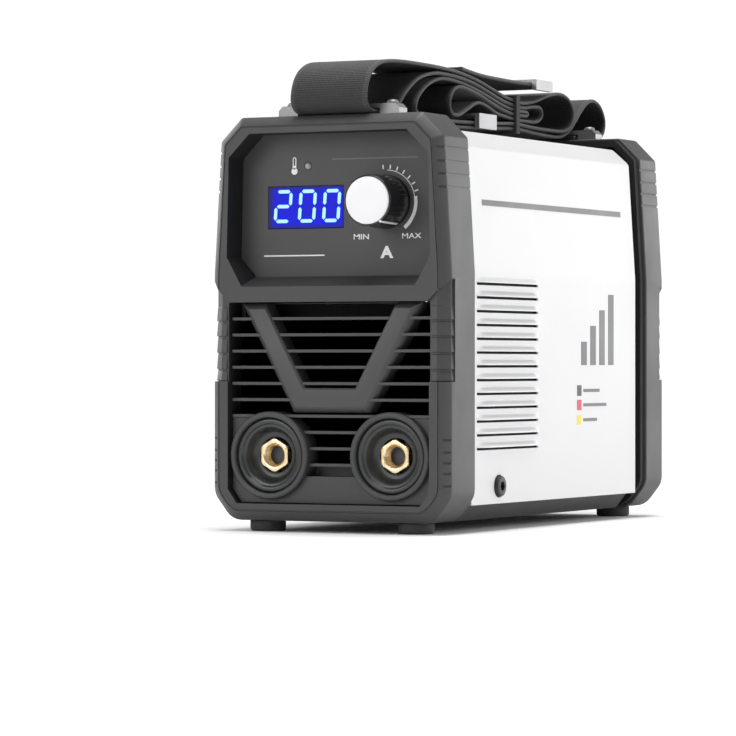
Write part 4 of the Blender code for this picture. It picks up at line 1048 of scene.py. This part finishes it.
grille = {"depth": 8.0, "rail": 2.5, "slats": 10, "pitch": 7.2, "thickness": 1.4, "top": 94.7,
          "bladeY": 3.0, "bladeHalf": 49.4, "collarRail": 1.5, "plateY": 4.0, "plateTop": 51.5,
          "plateFloor": 24.9, "fit": 0.3}
socket = {"z": middleOf(output["right"][2]), "x": middleOf(output["right"][0]), "collar": 19.5,
          "collarY": 1.0, "collarReach": 18.2, "flange": 16.5, "flangeY": 2.5, "cup": 13.4, "cupFloor": 9.4,
          "cupDepth": 6.0, "shank": 12.0, "end": 32.0, "hex": 7.8, "bore": 4.75}


def betweenCollars(z):
    # Half the clear width between the two sockets at a height, ending inside their collars
    reach = socket["collarReach"] ** 2 - (z - socket["z"]) ** 2
    return socket["x"] - (reach ** 0.5 if reach > 0 else 0)


def slattedPanel(sockets):
    # A frame with gaps, and blades that reach forward; beside the sockets both end at the collars
    y = (case["grille"], case["grille"] + grille["depth"])
    shape = prism(inset(lowerCorners(), grille["fit"]), *y)
    gap, gaps, blades = grille["pitch"] - grille["thickness"], [], []
    for number in range(-1, grille["slats"] - 1):
        middle = grille["top"] - (number + 0.5) * grille["pitch"]
        half = bumper["openingHalf"] - grille["rail"]
        if sockets and middle < grille["plateTop"]:
            half = betweenCollars(middle) - grille["collarRail"]
        gaps.append(block((-half, half), (y[0] - 1, y[1] + 1), (middle - gap / 2, middle + gap / 2)))
    for number in range(grille["slats"]):
        middle = grille["top"] - number * grille["pitch"]
        half, near = grille["bladeHalf"], grille["bladeY"]
        if sockets and middle < grille["plateTop"]:
            half, near = betweenCollars(middle), grille["bladeY"] + 1
        low, high = middle - grille["thickness"] / 2, middle + grille["thickness"] / 2
        blades.append(block((-half, half), (near, y[0] + 1), (low, high)))
    return weld(carve(shape, gathered(gaps)), gathered(blades))


def socketPlate():
    low, top = bumper["openingBottom"] + grille["fit"], grille["plateTop"]
    edge = bumper["openingHalf"] - grille["fit"]
    across, up = bumper["openingCut"]
    plateShape = prism(mirrored([(edge - across, low), (edge, low + up), (edge, top)]), grille["plateY"],
                       case["grille"] - 0.05)
    clear = block((-socket["x"], socket["x"]), (grille["plateY"] - 1, case["grille"] + 1),
                  (grille["plateFloor"], top + 1))
    holes = [prism(circle(socket["flange"] + 0.4, 96, x, socket["z"]), 0, case["grille"] + 1)
             for x in (-socket["x"], socket["x"])]
    return carve(plateShape, clear, gathered(holes))


def socketCollar(x):
    inner, outer, near = socket["flange"] + 0.3, socket["collar"], socket["collarY"]
    back = case["grille"] - 0.2
    return lathe([(inner, back), (inner, near + 0.9), (inner + 0.25, near + 0.3), (inner + 0.8, near),
                  (outer - 0.9, near), (outer - 0.25, near + 0.3), (outer, near + 0.9), (outer, back)],
                 x, socket["z"])


soften(newPiece("front_grille", slattedPanel(True), grillePlastic, node="grille_panel"), 0.32)
soften(newPiece("socket_plate", socketPlate(), bumperPlastic), 0.35)
for name, side in bothSides:
    newPiece("socket_collar_" + name, socketCollar(side * socket["x"]), bumperPlastic,
             sharp=50)
soften(newPiece("rear_slats", slattedPanel(False), grillePlastic, node="rear_grille",
                rear=True), 0.32)

# Near-black sheets of painted shade behind the grille and the louvres: the front one's two parts are
# ((left, right), (bottom, top))
shadeSheets = {"back": (0.5, 2.0), "wide": ((-46, 46), (53, 101)), "narrow": ((-12.8, 12.8), (21, 52.9)),
           "louvreIn": (2.6, 1.9), "louvreZ": (34, 114), "louvreOver": 3}


def frontShadeSheet():
    behind = case["grille"] + grille["depth"]
    y = [behind + gap for gap in shadeSheets["back"]]
    return gathered([block(x, y, z) for x, z in (shadeSheets["wide"], shadeSheets["narrow"])])


def louvreShadeSheet(side):
    x = sorted(side * (coverSide - depth) for depth in shadeSheets["louvreIn"])
    start, over = cover["start"], shadeSheets["louvreOver"]
    return block(x, (start - over, start + cover["length"] + over), shadeSheets["louvreZ"])


newPiece("front_shade_sheet", frontShadeSheet(), shadowBlack)
for name, side in bothSides:
    newPiece("louvre_shade_sheet_" + name, louvreShadeSheet(side), shadowBlack)

brace = {"y": 2.0, "topHalf": 45.0, "baseHalf": 19.0, "baseZ": 53.0, "bar": 11.0, "armShare": 1.13,
         "draft": 2.6, "top": 101.7}


def guardBrace():
    outer = [(-brace["baseHalf"], brace["baseZ"]), (brace["baseHalf"], brace["baseZ"]),
             (brace["topHalf"], brace["top"]), (-brace["topHalf"], brace["top"])]
    face, draft = brace["y"], brace["draft"]
    levels = ((draft + 0.4, face), (draft, face + 0.15), (0.25, face + draft), (0, face + draft + 0.5),
              (0, case["grille"] - 0.1))
    shape = skin([[(x, y, z) for x, z in inset(outer, shrink)] for shrink, y in levels])
    run = (brace["topHalf"] - brace["baseHalf"]) / (brace["top"] - brace["baseZ"])
    low = brace["baseZ"] + brace["bar"]
    halfLow = brace["baseHalf"] + run * brace["bar"] - brace["bar"] * brace["armShare"]
    high = brace["top"] + 1
    halfHigh = halfLow + run * (high - low)
    hole = [(-halfLow, low), (halfLow, low), (halfHigh, high), (-halfHigh, high)]
    levels = ((-1.6, face - 1.0), (0, face + 1.1), (0, case["grille"] + 2))
    return carve(shape, skin([[(x, y, z) for x, z in inset(hole, shrink)] for shrink, y in levels]))


soften(newPiece("guard_bar", guardBrace(), bracePlastic, node="guard_brace"), 0.4, 2)
print("grille and guard built")


# Output sockets

contact = {"points": 96, "stem": 6.0, "end": 36.9, "turns": 15, "pitch": 1.0, "groove": 0.38,
           "boreEnd": 30.9}


def socketBody(x):
    near, floor = socket["flangeY"], socket["flangeY"] + socket["cupDepth"]
    flange, cup, low = socket["flange"], socket["cup"], socket["cupFloor"]
    hole, seat = socket["hex"] + 0.3, case["grille"] - 0.3
    return lathe([
        (flange, near + 1.0), (flange - 0.3, near + 0.3), (flange - 0.9, near), (cup + 1.1, near),
        (cup + 0.7, near + 0.25), (cup + 0.5, near + 0.8), (cup + 0.1, near + 1.1),
        (cup - 0.5, near + 1.0), (cup - 0.9, near + 1.4), (cup - 1.6, near + 3.0),
        (low + 1.4, floor - 0.9), (low + 0.5, floor - 0.2), (low - 0.6, floor), (hole, floor),
        (hole, socket["end"]), (socket["shank"], socket["end"]), (socket["shank"], seat), (flange, seat)],
        x, socket["z"])


def hexagon(size, limit=None):
    # Six flat sides with as many points as a contact's round parts, its corners turned down to the limit
    ring = []
    for i in range(contact["points"]):
        angle = 2 * pi * i / contact["points"]
        face = (angle - pi / 2) % (pi / 3) - pi / 6
        radius = size * cos(pi / 6) / cos(face)
        if limit is not None:
            radius = min(radius, limit)
        ring.append((radius * cos(angle), radius * sin(angle)))
    return ring


def socketContact(x):
    floor = socket["flangeY"] + socket["cupDepth"]
    size, bore, points = socket["hex"], socket["bore"], contact["points"]
    stem = circle(contact["stem"], points)
    rings = [(stem, contact["end"]), (stem, floor + 3), (hexagon(size), floor + 3),
             (hexagon(size), floor - 1.45), (hexagon(size, 7.35), floor - 1.75),
             (hexagon(size - 0.3, 7.0), floor - 1.95), (circle(5.5, points), floor - 1.95),
             (circle(5.2, points), floor - 1.8)]
    crest, valley = circle(bore, points), circle(bore - contact["groove"], points)
    for turn in range(contact["turns"]):
        y = floor - 1.2 + turn * contact["pitch"]
        rings += [(crest, y), (valley, y + contact["pitch"] / 2)]
    rings.append((circle(bore - 0.4, points), contact["boreEnd"]))
    return skin([[(x + a, y, socket["z"] + b) for a, b in outline] for outline, y in rings])


for name, side in bothSides:
    x = side * socket["x"]
    newPiece("socket_cup_" + name, socketBody(x), socketPlastic, node="socket_body_" + name,
             sharp=70)
    newPiece("socket_brass_" + name, socketContact(x), brassOf[name], node="socket_contact_" + name,
             sharp=40)
print("sockets built")


# Shoulder strap: route (depth, height) of the folded band, front end to rear end

strapRoute = [
    (22, 185.9), (15, 185.9), (7, 186.2), (2.6, 188.6), (1.4, 193), (4, 200), (10, 205.4), (20, 208.6),
    (38, 209.8), (66, 209.9), (84, 209.5), (100, 208.5), (116, 206.6), (131, 203.9), (145, 201.2),
    (157, 199.7), (168, 199.1), (182, 201), (196, 204.4), (209, 206.2), (219, 205), (225, 201),
    (226.6, 196), (223, 190.6), (214, 188.2), (200, 187.9), (178, 188.1), (157, 188.7), (131, 187.4),
    (110, 186.6), (84, 186), (66, 186), (55, 187), (51, 190.3), (55, 196), (66, 202), (80, 205.1),
    (98, 204.4), (114, 202.4), (131, 199.3), (145, 196.6), (157, 195.3), (166, 195), (171, 195),
    (172.6, 194.2), (171, 193.2), (166, 193.1), (157, 193.1), (145, 194.4), (131, 197), (116, 200.2),
    (100, 202.3), (92, 201.4), (87, 197.6), (85.6, 192.8), (89, 189.4), (96, 189.4), (105, 192.6),
    (116, 196.2), (127, 194.9), (138, 192.4), (157, 190.9), (170, 190.7), (182, 191), (188, 193),
    (189.4, 196), (186.4, 198.3), (178, 198), (168, 196.9), (157, 197.5), (145, 198.9), (131, 201.6),
    (114, 204.8), (98, 206.6), (82, 207.2), (70, 206.8), (54, 203.4), (41, 196.5), (33.6, 190.4),
    (30.4, 187.2), (32.4, 185.7), (40, 185), (60, 183.6), (84, 183.5), (120, 184.6), (157, 186.4),
    (180, 185.6), (200, 185.1), (212, 185.5), (221, 188.4), (228, 193), (235, 198.6), (243, 203.6),
    (251, 205.4), (259, 203), (264.2, 197), (263.4, 191), (258, 187), (248, 185.9), (238, 185.9),
    (231, 185.9), (225, 185.9),
]
tailRoute = [(99, 211), (120, 209.2), (150, 208.6), (178, 208.6), (196, 208.4)]
strap = {"width": 38.0, "thickness": 1.4, "bead": 0.12, "steps": 6}


def smoothPath(points, steps):
    padded = [points[0], *points, points[-1]]
    path = []
    for a, b, c, d in zip(padded, padded[1:], padded[2:], padded[3:]):
        a, b, c, d = Vector(a), Vector(b), Vector(c), Vector(d)
        for step in range(steps):
            t = step / steps
            path.append(0.5 * (2 * b + (c - a) * t + (2 * a - 5 * b + 4 * c - d) * t * t
                               + (3 * b - a - 3 * c + d) * t * t * t))
    path.append(Vector(points[-1]))
    return path


def bandSection():
    # (across, out) points round the band: a flat weave with a slightly thicker woven edge
    half, thick, bead = strap["width"] / 2, strap["thickness"] / 2, strap["bead"] / 2
    edge = [(0.0, 0.0), (0.15, 0.6 * thick), (0.6, thick + bead), (2.0, thick + bead), (2.5, thick - 0.03),
            (9, thick)]
    upper = [(-half + run, out) for run, out in edge] + [(0.0, thick)]
    upper += [(half - run, out) for run, out in reversed(edge)]
    lower = [(across, -out) for across, out in reversed(upper[1:-1])]
    return upper + lower


def bandPiece(name, route, node):
    path = smoothPath(route, strap["steps"])
    section = bandSection()
    band = bmesh.new()
    placed = band.loops.layers.uv.new("weave")
    rings, travelled = [], [0.0]
    for here, after in zip(path, path[1:]):
        travelled.append(travelled[-1] + (after - here).length)
    for i, here in enumerate(path):
        along = (path[min(i + 1, len(path) - 1)] - path[max(i - 1, 0)]).normalized()
        out = Vector((-along.y, along.x))
        sway = 0.35 * sin(travelled[i] / 47.0)
        rings.append([band.verts.new((across + sway, *(here + out * lift))) for across, lift in section])
    count = len(section)
    for i in range(len(rings) - 1):
        for j in range(count):
            after = (j + 1) % count
            face = band.faces.new((rings[i][j], rings[i][after], rings[i + 1][after], rings[i + 1][j]))
            # The second half of the section is the side that the front loop turns inwards; it takes the
            # darker copy of the webbing as painted shade
            face.material_index = int(j > count / 2 + 1 and j < count - 2)
            spots = ((j, i), (after, i), (after, i + 1), (j, i + 1))
            for loop, (part, row) in zip(face.loops, spots):
                loop[placed].uv = (section[part][0], travelled[row])
    band.faces.new(reversed(rings[0]))
    band.faces.new(rings[-1])
    piece = newPiece(name, band, strapWeave, node=node, sharp=70)
    piece.data.materials.append(strapShadedSide)
    return piece


bandPiece("strap_webbing", strapRoute, "shoulder_strap")
bandPiece("strap_tail_webbing", tailRoute, "strap_tail")
print("strap laid")


# Round rubber feet

foot = {"radius": 8.0, "x": 37.0}
standing = Matrix.Rotation(pi / 2, 4, "X")


def footPad(height):
    radius = foot["radius"]
    return lathe([(0.1, 0.0), (radius - 1.2, 0.0), (radius - 0.5, 0.2), (radius - 0.1, 0.7), (radius, 1.4),
                  (radius, height), (0.1, height)], sides=64, closed=False)


for end in ("front", "rear"):
    for name, side in bothSides:
        node = f"foot_{end}_{name}"
        _, y, z = sizeOf(node)
        newPiece(f"foot_pad_{end}_{name}", footPad(z[1]), footRubber, node=node,
                 move=Matrix.Translation((side * foot["x"], middleOf(y), 0)) @ standing)
print("feet placed")


# Fixings and the rear switch keep their shapes, with softened edges

softened = {
    "strap_bracket_front": (0.5, 3), "strap_bracket_rear": (0.5, 3), "strap_buckle_front": (0.55, 3),
    "strap_buckle_rear": (0.55, 3), "strap_tie": (0.3, 2), "power_switch_housing": (0.4, 2),
    "power_rocker": (0.4, 2),
    "mains_gland": (0.3, 2), "gland_nut": (0.4, 2), "fan_frame": (0.3, 2), "bus_bar_left": (0.3, 2),
    "bus_bar_right": (0.3, 2), "socket_nut_left": (0.4, 2), "socket_nut_right": (0.4, 2),
    "potentiometer_nut": (0.2, 2), "temperature_led": (0.15, 2),
}
for name, (width, segmentsWide) in softened.items():
    soften(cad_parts[name], width, segmentsWide, 35)

# Printed marks on the rocker, placed about its hinge
rocker = {"x": -24, "fromBack": 19, "z": 146, "tilt": -9, "face": -6.75, "markZ": (3.2, 8.8),
          "markHalf": 0.6, "ringZ": -6, "ringRadii": (2.1, 2.9)}
rockerPlace = (Matrix.Translation((rocker["x"], case["depth"] - rocker["fromBack"], rocker["z"]))
               @ Euler((radians(rocker["tilt"]), 0, pi)).to_matrix().to_4x4())


def rockerMarks():
    near, half, (inner, outer) = rocker["face"], rocker["markHalf"], rocker["ringRadii"]
    on = block((-half, half), (near, near + 0.85), rocker["markZ"])
    far = near + 1.15
    ring = lathe([(outer, near), (outer, far), (inner, far), (inner, near)], 0, rocker["ringZ"], 40)
    return gathered([on, ring])


newPiece("rocker_marks", rockerMarks(), whitePrint, "power_rocker", move=rockerPlace)

crossRecess = {"half": 1.5, "slit": 0.3, "y": (0.8, 2.5)}


def crossHead():
    # Written with its top towards +y and stood upright by the move
    half, slit, y = crossRecess["half"], crossRecess["slit"], crossRecess["y"]
    head = lathe([(0.1, 1.5), (1.2, 1.45), (2.0, 1.2), (2.5, 0.6), (2.6, 0.0), (0.1, 0.0)], sides=48,
                 closed=False)
    return carve(head, weld(block((-half, half), y, (-slit, slit)), block((-slit, slit), y, (-half, half))))


for end in ("front", "rear"):
    for name, _ in bothSides:
        node = f"bracket_screw_{end}_{name}"
        x, y, z = sizeOf(node)
        newPiece(f"bracket_bolt_{end}_{name}", crossHead(), castSteel, node=node,
                 move=Matrix.Translation((middleOf(x), middleOf(y), z[0])) @ standing)
print("fixings softened")


# Finishes of the nodes that keep their own shapes

nodeFinishes = {
    panelPlastic: ["control_panel"],
    bumperPlastic: ["rear_panel"],
    trayPaint: ["base_tray"],
    innerBlack: ["display_module", "fan_frame", "fan_rotor", "socket_nut_left", "socket_nut_right"],
    satinBlack: ["power_switch_housing", "mains_gland", "gland_nut"],
    screenBlue: ["display_window"],
    ledLens: ["temperature_led"],
    rockerPlastic: ["power_rocker"],
    platedSteel: ["potentiometer_shaft", "potentiometer_body", "potentiometer_nut"],
    castSteel: ["strap_bracket_front", "strap_bracket_rear", "strap_buckle_front", "strap_buckle_rear"],
    circuitGreen: ["control_board", "main_board"],
    copperBar: ["bus_bar_left", "bus_bar_right"],
    copperWire: ["transformer_winding", "output_choke"],
    finMetal: ["heat_sink_left", "heat_sink_right"],
    sleevePlastic: ["bus_capacitor_1", "bus_capacitor_2", "bus_capacitor_3"],
    ferriteFinish: ["transformer_core"],
    grainedFinish("tie_webbing", (0.022, 0.022, 0.023), 0.8, 900, 0.2, 0.3): ["strap_tie"],
}
for finish, names in nodeFinishes.items():
    for name in names:
        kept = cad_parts[name]
        kept.data.materials.clear()
        kept.data.materials.append(finish)
print("finishes given")
